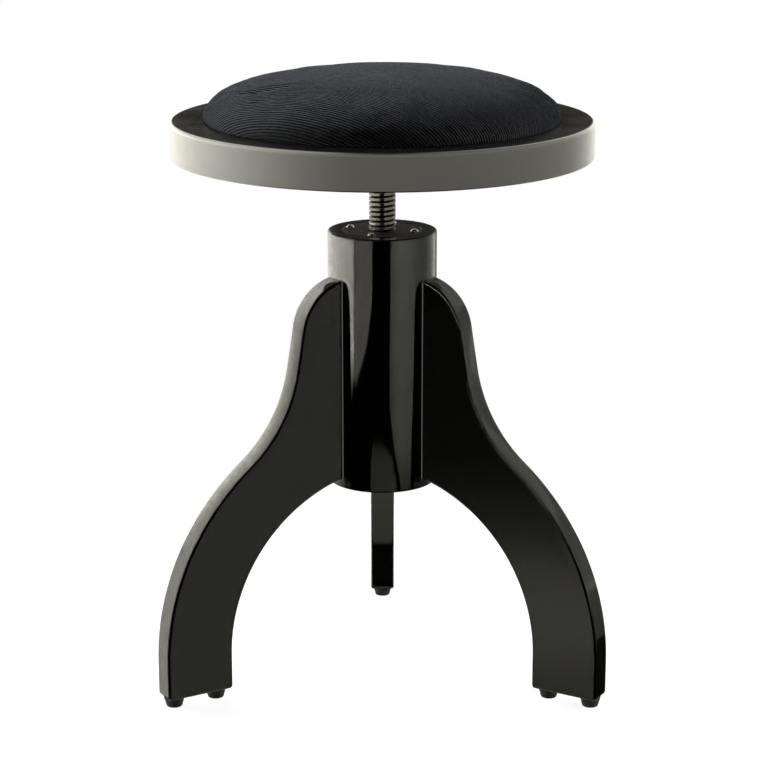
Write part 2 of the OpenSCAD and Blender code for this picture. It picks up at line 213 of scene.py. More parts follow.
def noiseMap(place, scale, detail, **more):
    inputs = {"Vector": place, "Scale": scale, "Detail": detail, **more}
    return put(place.id_data, "ShaderNodeTexNoise", inputs).outputs["Fac"]


def objectPlace(tree):
    return put(tree, "ShaderNodeTexCoord").outputs["Object"]


socketKinds = {float: "Float", int: "Int", bool: "Bool", tuple: "Color"}


def newTree(name, kind, inputs, outputs):
    # an input is given by its default value, or by its kind where it has none
    tree = bpy.data.node_groups.new(name, kind)
    for label, value in inputs.items():
        socketKind = value if isinstance(value, str) else socketKinds[type(value)]
        socket = tree.interface.new_socket(name=label, in_out="INPUT", socket_type="NodeSocket" + socketKind)
        if socketKind != value:
            socket.default_value = value
    for label, socketKind in outputs.items():
        tree.interface.new_socket(name=label, in_out="OUTPUT", socket_type="NodeSocket" + socketKind)
    return tree, put(tree, "NodeGroupInput").outputs, put(tree, "NodeGroupOutput").inputs


def finishGeometry(geometry, given, result):
    tree = geometry.id_data
    solid = put(tree, "GeometryNodeRealizeInstances", {0: geometry})
    painted = put(tree, "GeometryNodeSetMaterial", {"Geometry": solid.outputs[0], "Material": given["Material"]})
    tree.links.new(painted.outputs[0], result[0])
    return tree


def finishCopies(points, piece, seed, flip, given, result):
    # one copy of a piece on each point, each with its own turn
    tree = piece.id_data
    turn = put(tree, "FunctionNodeRandomValue", {"Seed": seed, 3: 2 * pi}, data_type="FLOAT")
    copies = put(tree, "GeometryNodeInstanceOnPoints", {
        "Points": points, "Instance": piece, "Rotation": vector(flip, 0.0, turn.outputs[1])})
    return finishGeometry(copies.outputs[0], given, result)


def runTree(obj, tree, values):
    # sets the inputs by identifier, then keeps the result as a plain mesh
    modifier = obj.modifiers.new(tree.name, "NODES")
    modifier.node_group = tree
    for socket in tree.interface.items_tree:
        if socket.item_type == "SOCKET" and socket.in_out == "INPUT" and socket.name in values:
            modifier[socket.identifier] = values[socket.name]
    bakeModifiers(obj)


# Effects that several materials share

def edgeWearGroup():
    tree, given, result = newTree("edgeWear", "ShaderNodeTree", {"Radius": 0.0015, "Amount": 1.0, "Scale": 160.0},
            {"Mask": "Float"})
    bevel = put(tree, "ShaderNodeBevel", {"Radius": given["Radius"]}, samples=4)
    surface = put(tree, "ShaderNodeNewGeometry")
    likeness = put(tree, "ShaderNodeVectorMath", {0: bevel.outputs[0], 1: surface.outputs["Normal"]},
                   operation="DOT_PRODUCT")
    edge = spread(likeness.outputs["Value"], 0.995, 0.86)
    worn = spread(noiseMap(objectPlace(tree), given["Scale"], 4.0), 0.45, 0.65)
    tree.links.new(times(times(edge, worn), given["Amount"]), result["Mask"])
    return tree


def settledDustGroup():
    tree, given, result = newTree("settledDust", "ShaderNodeTree", {"Scale": 900.0, "Cover": 0.5, "Amount": 1.0},
            {"Mask": "Float"})
    place = objectPlace(tree)
    upward = put(tree, "ShaderNodeSeparateXYZ", {0: put(tree, "ShaderNodeNewGeometry").outputs["Normal"]})
    lying = spread(upward.outputs["Z"], 0.3, 0.95)
    specks, drifts = noiseMap(place, given["Scale"], 3.0), noiseMap(place, 14.0, 2.0)
    mixed = timesPlus(drifts, 0.5, times(specks, 0.5))
    edge = minus(0.75, times(given["Cover"], 0.4))
    cover = spread(minus(mixed, edge), 0.0, 0.12)
    tree.links.new(times(times(lying, cover), given["Amount"]), result["Mask"])
    return tree


def handlingGroup():
    # cloudy change of gloss where hands and cloths have been
    tree, given, result = newTree("handlingMarks", "ShaderNodeTree", {"Scale": 18.0, "Low": 0.05, "High": 0.12},
            {"Roughness": "Float"})
    cloud = noiseMap(objectPlace(tree), given["Scale"], 6.0, Roughness=0.62)
    tree.links.new(spread(cloud, 0.35, 0.7, given["Low"], given["High"]), result["Roughness"])
    return tree


def turningGroup():
    # fine rings left by turning and polishing, with the peel of a sprayed coat
    tree, given, result = newTree("turningMarks", "ShaderNodeTree", {
        "Ring Scale": 900.0, "Ring Depth": 0.5, "Peel Scale": 260.0, "Peel Depth": 0.5}, {"Height": "Float"})
    place = objectPlace(tree)
    across, along, up = put(tree, "ShaderNodeSeparateXYZ", {0: place}).outputs
    radius = plus(calc("SQRT", timesPlus(across, across, times(along, along))), 1e-5)
    ring = times(plus(radius, up), given["Ring Scale"])
    rings = noiseMap(vector(over(across, radius), over(along, radius), ring), 1.0, 3.0)
    peel = noiseMap(place, given["Peel Scale"], 2.0)
    tree.links.new(timesPlus(rings, given["Ring Depth"], times(peel, given["Peel Depth"])), result["Height"])
    return tree


def woodGrainGroup():
    tree, given, result = newTree("woodGrain", "ShaderNodeTree", {
        "Scale": 60.0, "Pale": (0.6, 0.42, 0.24, 1), "Deep": (0.3, 0.18, 0.09, 1)},
        {"Color": "Color", "Height": "Float"})
    place = objectPlace(tree)
    stretched = put(tree, "ShaderNodeMapping", {"Vector": place, "Scale": (1.0, 9.0, 9.0)})
    fibre = noiseMap(stretched.outputs[0], given["Scale"], 6.0, Roughness=0.6)
    rings = put(tree, "ShaderNodeTexWave", {"Vector": place, "Scale": given["Scale"], "Distortion": 6.0,
            "Detail": 3.0}, bands_direction="Z")
    mixed = timesPlus(rings.outputs["Fac"], 0.4, times(fibre, 0.6))
    tree.links.new(mixColor(spread(mixed, 0.3, 0.7), given["Pale"], given["Deep"]), result["Color"])
    tree.links.new(mixed, result["Height"])
    return tree


edgeWear = edgeWearGroup()
settledDust = settledDustGroup()
handlingMarks = handlingGroup()
turningMarks = turningGroup()
woodGrain = woodGrainGroup()


# Materials

def newMaterial(name):
    material = bpy.data.materials.new(name)
    material.use_nodes = True
    material.node_tree.nodes.clear()
    return material, material.node_tree


def addEffect(tree, group, values):
    return put(tree, "ShaderNodeGroup", values, node_tree=group).outputs


def finishMaterial(material, colour, rough, height, depth, constants=None):
    tree = material.node_tree
    bump = put(tree, "ShaderNodeBump", {"Height": height, "Distance": depth, "Strength": 1.0})
    shader = put(tree, "ShaderNodeBsdfPrincipled", {
        "Base Color": colour, "Roughness": rough, "Normal": bump.outputs[0], **(constants or {})})
    put(tree, "ShaderNodeOutputMaterial", {"Surface": shader.outputs[0]})
    return material


lacquerLook = {
    "colour": (0.0030, 0.0028, 0.0024, 1),
    "wornColour": (0.030, 0.024, 0.018, 1),
    "dustColour": (0.20, 0.19, 0.18, 1),
    "coatDepth": 0.02 * mm,
}


def lacquerMaterial(name, low, high, ringDepth, peelDepth, dust=0.06, peelScale=260.0):
    material, tree = newMaterial(name)
    wear = addEffect(tree, edgeWear, {"Radius": 1.2 * mm, "Amount": 0.4, "Scale": 190.0})[0]
    lying = addEffect(tree, settledDust, {"Scale": 1400.0, "Cover": 0.42, "Amount": dust})[0]
    gloss = addEffect(tree, handlingMarks, {"Scale": 16.0, "Low": low, "High": high})[0]
    marks = addEffect(tree, turningMarks, {"Ring Depth": ringDepth, "Peel Scale": peelScale,
            "Peel Depth": peelDepth})[0]
    colour = mixColor(wear, lacquerLook["colour"], lacquerLook["wornColour"])
    colour = mixColor(lying, colour, lacquerLook["dustColour"])
    rough = plus(plus(gloss, times(lying, 0.5)), times(wear, 0.12))
    return finishMaterial(material, colour, rough, marks, lacquerLook["coatDepth"], {"IOR": 1.52})


def metalMaterial(name, colour, dirtColour, low, high, ringDepth, dirt, shadedGrooves=False):
    material, tree = newMaterial(name)
    gloss = addEffect(tree, handlingMarks, {"Scale": 90.0, "Low": low, "High": high})[0]
    marks = addEffect(tree, turningMarks, {"Ring Scale": 2600.0, "Ring Depth": ringDepth, "Peel Scale": 900.0,
            "Peel Depth": 0.4})[0]
    dirty = spread(noiseMap(objectPlace(tree), 240.0, 5.0), 0.5, 0.75, 0.0, dirt)
    finish, rough = mixColor(dirty, colour, dirtColour), timesPlus(dirty, 0.4, gloss)
    if shadedGrooves:
        # painted shade: the thread's grooves are drawn dark in colour and a little rougher
        grease = put(tree, "ShaderNodeAttribute", attribute_name="groove").outputs["Fac"]
        finish = mixColor(times(grease, 0.93), finish, (0.010, 0.009, 0.008, 1))
        rough = timesPlus(grease, 0.15, rough)
    return finishMaterial(material, finish, rough, marks, 0.012 * mm, {"Metallic": 1.0})


def paintMaterial(name, colour, low, high):
    material, tree = newMaterial(name)
    wear = addEffect(tree, edgeWear, {"Radius": 0.8 * mm, "Amount": 0.6, "Scale": 260.0})[0]
    lying = addEffect(tree, settledDust, {"Scale": 1600.0, "Cover": 0.45, "Amount": 0.15})[0]
    gloss = addEffect(tree, handlingMarks, {"Scale": 60.0, "Low": low, "High": high})[0]
    marks = addEffect(tree, turningMarks, {"Ring Depth": 0.1, "Peel Scale": 1500.0, "Peel Depth": 0.9})[0]
    worn = mixColor(wear, colour, (0.16, 0.155, 0.15, 1))
    return finishMaterial(material, mixColor(lying, worn, lacquerLook["dustColour"]), gloss, marks, 0.03 * mm)


def woodMaterial(name, pale, deep, scale):
    material, tree = newMaterial(name)
    grain = addEffect(tree, woodGrain, {"Scale": scale, "Pale": pale, "Deep": deep})
    gloss = addEffect(tree, handlingMarks, {"Scale": 40.0, "Low": 0.5, "High": 0.7})[0]
    return finishMaterial(material, grain["Color"], gloss, grain["Height"], 0.05 * mm)


def rubberMaterial():
    material, tree = newMaterial("blackRubber")
    lying = addEffect(tree, settledDust, {"Scale": 1200.0, "Cover": 0.6, "Amount": 0.25})[0]
    gloss = addEffect(tree, handlingMarks, {"Scale": 70.0, "Low": 0.5, "High": 0.75})[0]
    marks = addEffect(tree, turningMarks, {"Ring Scale": 1500.0, "Ring Depth": 0.3, "Peel Scale": 2500.0,
            "Peel Depth": 0.8})[0]
    colour = mixColor(lying, (0.016, 0.016, 0.015, 1), lacquerLook["dustColour"])
    return finishMaterial(material, colour, gloss, marks, 0.04 * mm)


corduroyLook = {
    "pitch": 2.46 * mm,         # from rib to rib
    "pileColour": (0.012, 0.0124, 0.0135, 1),
    "brushedColour": (0.040, 0.0408, 0.0435, 1),
    # the valley colour is painted shade between the ribs
    "valleyShadeColour": (0.0015, 0.0015, 0.002, 1),
    "speckColour": (0.09, 0.093, 0.10, 1),
    "valleyEdges": (0.18, 0.62), "speckEdges": (0.54, 0.70),
    "tuftScales": (900.0, 1500.0), "streakScales": (55.0, 390.0), "napScale": 17.0,
    "sheen": 0.22, "sheenRoughness": 0.45, "sheenTint": (0.80, 0.84, 0.92, 1),
}


def ribPhase(across, pitch):
    # 0 on the crest of a rib and 1 in the valley
    return calc("ABSOLUTE", timesPlus(calc("FRACT", over(across, pitch)), 2.0, -1.0))


def corduroyMaterial():
    look = corduroyLook
    material, tree = newMaterial("corduroy")
    cloth = put(tree, "ShaderNodeUVMap", uv_map="clothMap").outputs[0]
    along, across, _ = put(tree, "ShaderNodeSeparateXYZ", {0: cloth}).outputs
    valley = spread(ribPhase(across, look["pitch"]), *look["valleyEdges"], style="SMOOTHSTEP")
    pile, ribTone = (noiseMap(vector(times(along, look[key][0]), times(across, look[key][1])), 1.0, detail)
                     for key, detail in (("tuftScales", 3.0), ("streakScales", 2.0)))
    nap = noiseMap(cloth, look["napScale"], 4.0, Distortion=0.6)
    brushed = timesPlus(spread(nap, 0.3, 0.7), 0.5, times(spread(ribTone, 0.3, 0.7), 0.5))
    colour = mixColor(brushed, look["pileColour"], look["brushedColour"])
    # painted shade: the rib valleys are drawn far darker than the pile
    colour = mixColor(valley, colour, look["valleyShadeColour"])
    colour = mixColor(times(spread(pile, *look["speckEdges"]), 0.9), colour, look["speckColour"])
    height = timesPlus(pile, 0.35, times(valley, -1.0))
    return finishMaterial(material, colour, spread(brushed, 0.0, 1.0, 0.95, 0.78), height, 0.35 * mm, {
        "Sheen Weight": look["sheen"], "Sheen Roughness": look["sheenRoughness"],
        "Sheen Tint": look["sheenTint"], "Specular IOR Level": 0.2})


columnLacquer = lacquerMaterial("columnLacquer", 0.015, 0.04, 0.04, 0.16, dust=0.14)
legLacquer = lacquerMaterial("legLacquer", 0.012, 0.035, 0.0, 0.12)
satinLacquer = lacquerMaterial("satinLacquer", 0.18, 0.26, 0.3, 3.0, dust=0.05, peelScale=26.0)
# brightSteel carries painted shade in the spindle's thread grooves
brightSteel = metalMaterial("brightSteel", (0.36, 0.355, 0.33, 1), (0.10, 0.095, 0.085, 1), 0.12, 0.24, 0.6, 0.35,
        shadedGrooves=True)
nickel = metalMaterial("nickel", (0.78, 0.76, 0.72, 1), (0.42, 0.40, 0.37, 1), 0.10, 0.20, 0.2, 0.2)
zinc = metalMaterial("zinc", (0.58, 0.59, 0.61, 1), (0.30, 0.29, 0.28, 1), 0.28, 0.45, 0.3, 0.5)
blackSteel = paintMaterial("blackSteel", (0.010, 0.0095, 0.009, 1), 0.40, 0.52)
blackRubber = rubberMaterial()
corduroy = corduroyMaterial()
beech = woodMaterial("beech", (0.62, 0.43, 0.25, 1), (0.42, 0.27, 0.14, 1), 120.0)
plugWood = woodMaterial("plugWood", (0.30, 0.20, 0.12, 1), (0.15, 0.09, 0.05, 1), 90.0)
plywood = woodMaterial("plywood", (0.58, 0.43, 0.27, 1), (0.40, 0.27, 0.16, 1), 70.0)
print("materials made")


# Column, legs and feet

columnShape = {
    "radius": 47.0, "low": 173.0, "top": 396.0, "rimRound": 1.5,
    "boreRadius": 22.05, "plateRadius": 34.05, "plateDepth": 4.0,
}


def makeColumn():
    s = columnShape
    return turnPiece("columnTurned", [
        (s["boreRadius"], s["low"], 0.6), (s["radius"], s["low"], s["rimRound"]),
        (s["radius"], s["top"], s["rimRound"]), (s["plateRadius"], s["top"], 0.3),
        (s["plateRadius"], s["top"] - s["plateDepth"], 0), (s["boreRadius"], s["top"] - s["plateDepth"], 0)],
        "base", columnLacquer, "black_lacquer", "column", steps=192)


legTurns = (("Left", 210), ("Right", 330), ("Rear", 90))
legShape = {
    "thickness": 22.0, "reach": 216.4, "footWidth": 61.0, "postHeight": 40.0, "low": 8.5,
    "cornerRound": 3.2, "edgeRound": 2.2, "root": 45.5, "steps": 150,
    "crowning": 1.0,            # how much the upper outer edge bulges across its thickness
    "topCrowning": 0.15,        # share of the bulge that is left on top of the shoulder
    "crowningHeights": (135, 185, 300, 345),    # where it starts, is full, shrinks and reaches the top share
    "footRound": 210.0, "waistRound": 125.0, "neckLean": 10.0,
    "shoulderRound": 48.5, "shoulderReach": 83.8, "shoulderHeight": 310.7, "archMeets": 181.0,
}


def evenPoints(line, count):
    # the same line with its points at equal steps
    line = np.array(line)
    length = np.concatenate([[0], np.cumsum(np.hypot(*np.diff(line, axis=0).T))])
    steps = np.linspace(0, length[-1], count + 1)
    return np.stack([np.interp(steps, length, line[:, 0]), np.interp(steps, length, line[:, 1])], axis=-1)


def legOutline():
    # the outer line from the shoulder to the foot, the inner line back up, and the bulge of each point
    s = legShape
    inner = s["reach"] - s["footWidth"]
    over, rise = inner - columnShape["radius"], s["archMeets"] - s["postHeight"]
    archRound = (over ** 2 + rise ** 2) / (2 * over)
    arch = (inner - archRound, s["postHeight"])
    foot = Vector((s["reach"] - s["footRound"], s["postHeight"]))
    shoulder = Vector((s["shoulderReach"] - s["shoulderRound"], s["shoulderHeight"]))
    lean = radians(s["neckLean"])
    start = shoulder + (s["shoulderRound"] + s["waistRound"]) * Vector((cos(lean), sin(lean)))
    down = Vector((sin(lean), -cos(lean)))
    slope = down.dot(start - foot)
    rest = (start - foot).length_squared - (s["footRound"] + s["waistRound"]) ** 2
    waist = start + (-slope - sqrt(slope ** 2 - rest)) * down
    meet = degrees(atan2(waist.y - foot.y, waist.x - foot.x))
    top = degrees(acos((s["root"] - shoulder.x) / s["shoulderRound"]))
    end = degrees(acos((s["root"] - arch[0]) / archRound))
    c = s["cornerRound"]
    outer = evenPoints(
        arcPoints(shoulder, s["shoulderRound"], top, s["neckLean"], 0.5)
        + arcPoints(waist, s["waistRound"], 180 + s["neckLean"], 180 + meet, 0.5)[1:]
        + arcPoints(foot, s["footRound"], meet, 0, 0.5)[1:] + [(s["reach"], s["low"] + c)], s["steps"])
    inside = evenPoints(
        [(s["root"], outer[0][1])] + arcPoints(arch, archRound, end, 0, 0.5) + [(inner, s["low"] + c)], s["steps"])
    heel = arcPoints((s["reach"] - c, s["low"] + c), c, 0, -90, 0.5)[1:]
    toe = arcPoints((inner + c, s["low"] + c), c, -180, -90, 0.5)[1:]
    bulge = np.interp(outer[:, 1], s["crowningHeights"], (0, 1, 0.8, s["topCrowning"])) * s["crowning"]
    outer, inside = np.concatenate([outer, heel]), np.concatenate([inside[1:], toe])
    bulge = np.concatenate([bulge, np.zeros(len(heel) + len(inside))])
    return outer, inside, bulge


def turnedPoint(x, side, z, turn):
    c, v = cos(radians(turn)), sin(radians(turn))
    return x * c - side * v, x * v + side * c, z


def makeLeg(name, turn, node):
    # rings of the outline across the thickness, drawn in toward both faces to round the edges
    s = legShape
    outer, inside, bulge = legOutline()
    outline = np.concatenate([outer, inside[::-1]])
    count, span = len(outline), len(outer)
    along = np.roll(outline, -1, axis=0) - np.roll(outline, 1, axis=0)
    outward = np.stack([-along[:, 1], along[:, 0]], axis=-1) / np.hypot(*along.T)[:, None]
    half, edge = s["thickness"] / 2, s["edgeRound"]
    rings = [(radians(a), -1) for a in range(90, -1, -10)]
    rings += [(k / 5, 0) for k in range(-4, 5)] + [(radians(a), 1) for a in range(0, 91, 10)]
    points, normals = [], []
    for value, way in rings:
        if way:
            inset, side = edge * (1 - cos(value)), way * (half - edge + edge * sin(value))
            tilt = np.arctan(2 * bulge * (half - edge) / half ** 2)
            lean = way * (tilt + (pi / 2 - tilt) * value / (pi / 2))
        else:
            inset, side = 0.0, value * (half - edge)
            lean = np.arctan(2 * bulge * side / half ** 2)
        drawn = outline - outward * (inset + bulge * (side / half) ** 2 * (1 - inset / edge))[:, None]
        for (x, z), (outX, outZ), angle in zip(drawn, outward, lean * np.ones(count)):
            c, v = cos(angle), sin(angle)
            points.append([p * mm for p in turnedPoint(x, side, z, turn)])
            normals.append(turnedPoint(outX * c, v, outZ * c, turn))
    faces = stripFaces(len(rings), count)
    # both broad faces are strips between the outer and the inner line
    for low in (0, (len(rings) - 1) * count):
        opposite = [low] + [low + count - 1 - k for k in range(count - span)]
        for k in range(span - 1):
            corner = [low + k, low + k + 1, opposite[k + 1], opposite[k]]
            faces.append(list(dict.fromkeys(corner)))
    leg = linkMesh(name, points, faces)
    turnOutward(leg)
    leg.data.normals_split_custom_set_from_vertices(normals)
    return fitPiece(leg, "base", legLacquer, "black_lacquer", node)


jointShape = {"round": 0.8, "low": 181.5, "flatHalf": 8.0, "bulgeShare": 0.6, "sunk": 0.4, "arcPoints": 7}


def jointPath():
    # (side, height, sideways and upward share of the leg's own normal) up one face, over the top and down
    s = legShape
    half, edge = s["thickness"] / 2, s["edgeRound"]
    centre = s["shoulderReach"] - s["shoulderRound"]
    top = s["shoulderHeight"] + sqrt(s["shoulderRound"] ** 2 - (columnShape["radius"] - centre) ** 2)
    bulge = s["crowning"] * s["topCrowning"]
    turn = top - bulge * jointShape["bulgeShare"] - edge
    path = [(-half, z, -1.0, 0.0) for z in np.linspace(jointShape["low"], turn, 60)]
    for angle in range(10, 90, 10):
        a = radians(angle)
        path.append((-(half - edge) - edge * cos(a), turn + edge * sin(a), -cos(a), sin(a)))
    path += [(side, top - bulge * (side / half) ** 2, 0.0, 1.0)
             for side in np.linspace(-jointShape["flatHalf"], 0, 7)]
    return path + [(-side, z, -across, up) for side, z, across, up in reversed(path[:-1])]


def makeJointBead(name, turn):
    # the small fillet that lacquer leaves where a leg meets the column
    r, column = jointShape["round"], columnShape["radius"]
    points, arc = [], jointShape["arcPoints"]
    for side, height, across, up in jointPath():
        touch = Vector((sqrt(column ** 2 - side ** 2), side, height))
        fromLeg, fromColumn = Vector((0, across, up)), Vector((touch.x, side, 0)) / column
        centre = touch + r * (fromLeg + fromColumn) / (1 + fromLeg.dot(fromColumn))
        ring = [centre - r * fromLeg.slerp(fromColumn, k / (arc - 1)) for k in range(arc)]
        ring.append(touch - jointShape["sunk"] * (fromLeg + fromColumn))
        points += [[c * mm for c in turnedPoint(*p, turn)] for p in ring]
    size, rings = arc + 1, len(points) // (arc + 1)
    faces = stripFaces(rings, size) + [range(size), range((rings - 1) * size, rings * size)]
    bead = linkMesh(name, points, faces)
    faceOutward(bead, 60)
    return fitPiece(bead, "base", legLacquer, "black_lacquer")


glideShape = {
    "height": 8.5, "topRadius": 9.1, "lowRadius": 6.8, "pocketRadius": 2.85, "pocketDepth": 2.4,
    "places": (206.6, 167.1),
}


def onPointsTree():
    tree, given, result = newTree("onePieceOnEachPoint", "GeometryNodeTree", {
        "Points": "Geometry", "Piece": "Object", "Turn Seed": 4, "Material": "Material"}, {"Geometry": "Geometry"})
    piece = put(tree, "GeometryNodeObjectInfo", {"Object": given["Piece"], "As Instance": True})
    return finishCopies(given["Points"], piece.outputs["Geometry"], given["Turn Seed"], 0.0, given, result)


def makeGlides():
    s = glideShape
    master = turnShape("glideMaster", roundCorners([
        (0, s["pocketDepth"], 0), (s["pocketRadius"], s["pocketDepth"], 0), (s["pocketRadius"], 0, 0.2),
        (s["lowRadius"], 0, 0.7), (s["topRadius"], s["height"], 0.3), (0, s["height"], 0)]),
        steps=48, closed=False)
    keepFlats(master)
    spots = [turnedPoint(r * mm, 0, 0, turn) for side, turn in legTurns for r in s["places"]]
    glides = linkMesh("rubberGlides", spots, [])
    runTree(glides, onPointsTree(), {"Piece": master, "Turn Seed": 4, "Material": blackRubber})
    bpy.data.objects.remove(master)
    return fitPiece(glides, "base", blackRubber, "rubber", "glides_left", "glides_right", "glides_rear")


column = makeColumn()
legs = [makeLeg("leg" + side + "Sawn", turn, "leg_" + side.lower()) for side, turn in legTurns]
beads = [makeJointBead("jointBead" + side, turn) for side, turn in legTurns]
glides = makeGlides()
print("column, legs and glides made")


# Nut plate, spindle, seat disc and screws

nutPlateShape = {
    "boreRadius": 11.85, "bossRadius": 18.0, "bossLow": 360.0, "radius": 33.98, "low": 392.05, "top": 396.0,
}


def makeNutPlate():
    s = nutPlateShape
    return turnPiece("nutPlate", [
        (s["boreRadius"], s["bossLow"], 0.5), (s["bossRadius"], s["bossLow"], 0.8), (s["bossRadius"], s["low"], 0),
        (s["radius"], s["low"], 0), (s["radius"], s["top"], 0.4), (s["boreRadius"], s["top"], 0.9)],
        "base", blackSteel, "black_steel", "nut_flange", steps=128)


spindleShape = {
    "Outside Diameter": 23.0 * mm, "Thread Depth": 2.1 * mm, "Pitch": 4.25 * mm,
    "Low": 309.0 * mm, "High": 461.0 * mm, "Thread Low": 310.3 * mm, "Thread High": 452.4 * mm,
    "Run Out": 2.5 * mm, "Rows": 640, "Columns": 72,
    # grease is the span of the thread where shade is painted into the colour
    "flank": (0.27, 0.47), "grease": (0.32, 0.43),      # start and end, as shares of the pitch from the crest
}


def threadTree():
    # a sheet rolled into a rod whose radius follows one long screw thread
    tree, given, result = newTree("screwThread", "GeometryNodeTree", {
        "Outside Diameter": 0.023, "Thread Depth": 0.002, "Pitch": 0.004, "Low": 0.0, "High": 0.1,
        "Thread Low": 0.0, "Thread High": 0.1, "Run Out": 0.002, "Rows": 200, "Columns": 48,
        "Material": "Material"}, {"Geometry": "Geometry"})
    sheet = put(tree, "GeometryNodeMeshGrid", {"Size X": 1.0, "Size Y": 1.0, "Vertices X": given["Rows"],
            "Vertices Y": plus(given["Columns"], 1.0)})
    place = put(tree, "ShaderNodeSeparateXYZ", {0: put(tree, "GeometryNodeInputPosition").outputs[0]})
    rise, turn = plus(place.outputs[0], 0.5), plus(place.outputs[1], 0.5)
    step = over(1.0, minus(given["Rows"], 1.0))
    half = over(step, 2.0)
    height = spread(rise, step, minus(1.0, step), given["Low"], given["High"])
    inside = times(calc("GREATER_THAN", rise, half), calc("LESS_THAN", rise, minus(1.0, half)))
    wound = minus(over(height, given["Pitch"]), turn)
    fromCrest = calc("ABSOLUTE", minus(wound, calc("ROUND", wound)))
    groove = spread(fromCrest, *spindleShape["flank"], style="SMOOTHSTEP")
    nearEnd = calc("MINIMUM", minus(height, given["Thread Low"]), minus(given["Thread High"], height))
    cut = spread(nearEnd, 0.0, given["Run Out"], style="SMOOTHSTEP")
    root = minus(over(given["Outside Diameter"], 2.0), given["Thread Depth"])
    tooth = times(times(given["Thread Depth"], cut), minus(1.0, groove))
    radius, angle = times(plus(root, tooth), inside), times(turn, 2 * pi)
    rolled = vector(times(radius, calc("COSINE", angle)), times(radius, calc("SINE", angle)), height)
    # painted shade: a mask for the grooves, which the spindle's material draws dark
    grooveShaded = put(tree, "GeometryNodeStoreNamedAttribute", {
        "Geometry": sheet.outputs["Mesh"], "Name": "groove",
        "Value": times(spread(fromCrest, *spindleShape["grease"]), cut)},
        data_type="FLOAT", domain="POINT")
    shaped = put(tree, "GeometryNodeSetPosition", {"Geometry": grooveShaded.outputs[0], "Position": rolled})
    joined = put(tree, "GeometryNodeMergeByDistance", {"Geometry": shaped.outputs[0], "Distance": 1e-6})
    return finishGeometry(joined.outputs[0], given, result)


def makeSpindle():
    spindle = linkMesh("threadedSpindle", [(0, 0, 0)], [])
    runTree(spindle, threadTree(), {**spindleShape, "Material": brightSteel})
    faceOutward(spindle, 70)
    return fitPiece(spindle, "seat", brightSteel, "bright_steel", "spindle")


seatDiscShape = {"boreRadius": 9.45, "radius": 60.0, "low": 457.0, "top": 460.95}


def makeSeatDisc():
    s = seatDiscShape
    return turnPiece("seatDisc", [
        (s["boreRadius"], s["low"], 0), (s["radius"], s["low"], 0.7), (s["radius"], s["top"], 0.4),
        (s["boreRadius"], s["top"], 0)], "seat", blackSteel, "black_steel", "seat_flange")


weldShape = {
    "low": 453.0, "high": 457.2, "lowRadius": 11.6, "highRadius": 14.4, "flare": 1.6, "swell": 0.2,
    "ripples": 26, "rippleDepth": 0.35, "rippleSlant": 0.35, "pointsPerRipple": 8, "rows": 9, "unevenness": 0.15,
}


def makeWeld():
    # the bead's cross-section bulges, and its surface steps from ripple to ripple
    s = weldShape
    steps, rows = s["ripples"] * s["pointsPerRipple"], s["rows"]
    points = []
    for i in range(rows + 1):
        share = i / rows
        bulge = sin(share * pi)
        for k in range(steps):
            angle = 2 * pi * k / steps
            phase = (k / s["pointsPerRipple"] + s["rippleSlant"] * bulge) % 1
            radius = (s["lowRadius"] + (s["highRadius"] - s["lowRadius"]) * share ** s["flare"]
                      + bulge * (s["swell"] + s["rippleDepth"] * sqrt(1 - (2 * phase - 1) ** 2)))
            radius += s["unevenness"] * noiseAt(Vector((cos(angle) * 3, sin(angle) * 3, share * 2)))
            height = s["low"] + (s["high"] - s["low"]) * share
            points.append((radius * mm * cos(angle), radius * mm * sin(angle), height * mm))
    faces = stripFaces(rows + 1, steps) + [range(steps), range(rows * steps, (rows + 1) * steps)]
    weld = linkMesh("weldBead", points, faces)
    faceOutward(weld, 55)
    return fitPiece(weld, "seat", blackSteel, "black_steel")


screwShape = {
    "headRadius": 3.5, "headHeight": 2.2, "crossLength": 3.6, "crossWidth": 1.1, "crossDepth": 1.3,
    "crossShares": (0.45, 1.25), "shankRadius": 1.85, "neck": 0.4, "rim": 0.25, "domeFrom": 0.3,
}


def screwHeadMaster():
    s = screwShape
    dome = (s["headRadius"] ** 2 + s["headHeight"] ** 2) / (2 * s["headHeight"])
    widest = asin(min(1, s["headRadius"] / dome))
    line = [(0, -s["neck"]), (s["shankRadius"], -s["neck"]), (s["shankRadius"], 0),
            (s["headRadius"] - s["rim"], 0), (s["headRadius"], s["rim"])]
    for k in range(1, 11):
        angle = widest * (1 - k / 10)
        line.append((dome * sin(angle), max(s["domeFrom"], s["headHeight"] - dome * (1 - cos(angle)))))
    line[-1] = (0, s["headHeight"])
    head = turnShape("screwHeadMaster", line, steps=64, closed=False)
    cutters = []
    for turn in (0, 90):
        # each arm of the cross narrows with depth
        points = []
        for height, share in zip((s["headHeight"] - s["crossDepth"], s["headHeight"] + 1), s["crossShares"]):
            for x, y in ((-1, -1), (1, -1), (1, 1), (-1, 1)):
                across, over = x * s["crossLength"] / 2 * share, y * s["crossWidth"] / 2 * (0.5 + share / 2)
                if turn:
                    across, over = -over, across
                points.append((across * mm, over * mm, height * mm))
        arm = linkMesh("crossArm" + str(turn), points, [
            (0, 3, 2, 1), (4, 5, 6, 7), (0, 1, 5, 4), (1, 2, 6, 5), (2, 3, 7, 6), (3, 0, 4, 7)])
        faceOutward(arm)
        cutters.append(arm)
        cut = head.modifiers.new("cutCross" + str(turn), "BOOLEAN")
        cut.operation, cut.solver, cut.object = "DIFFERENCE", "EXACT", arm
    bakeModifiers(head)
    for arm in cutters:
        bpy.data.objects.remove(arm)
    faceOutward(head, 35)
    return head


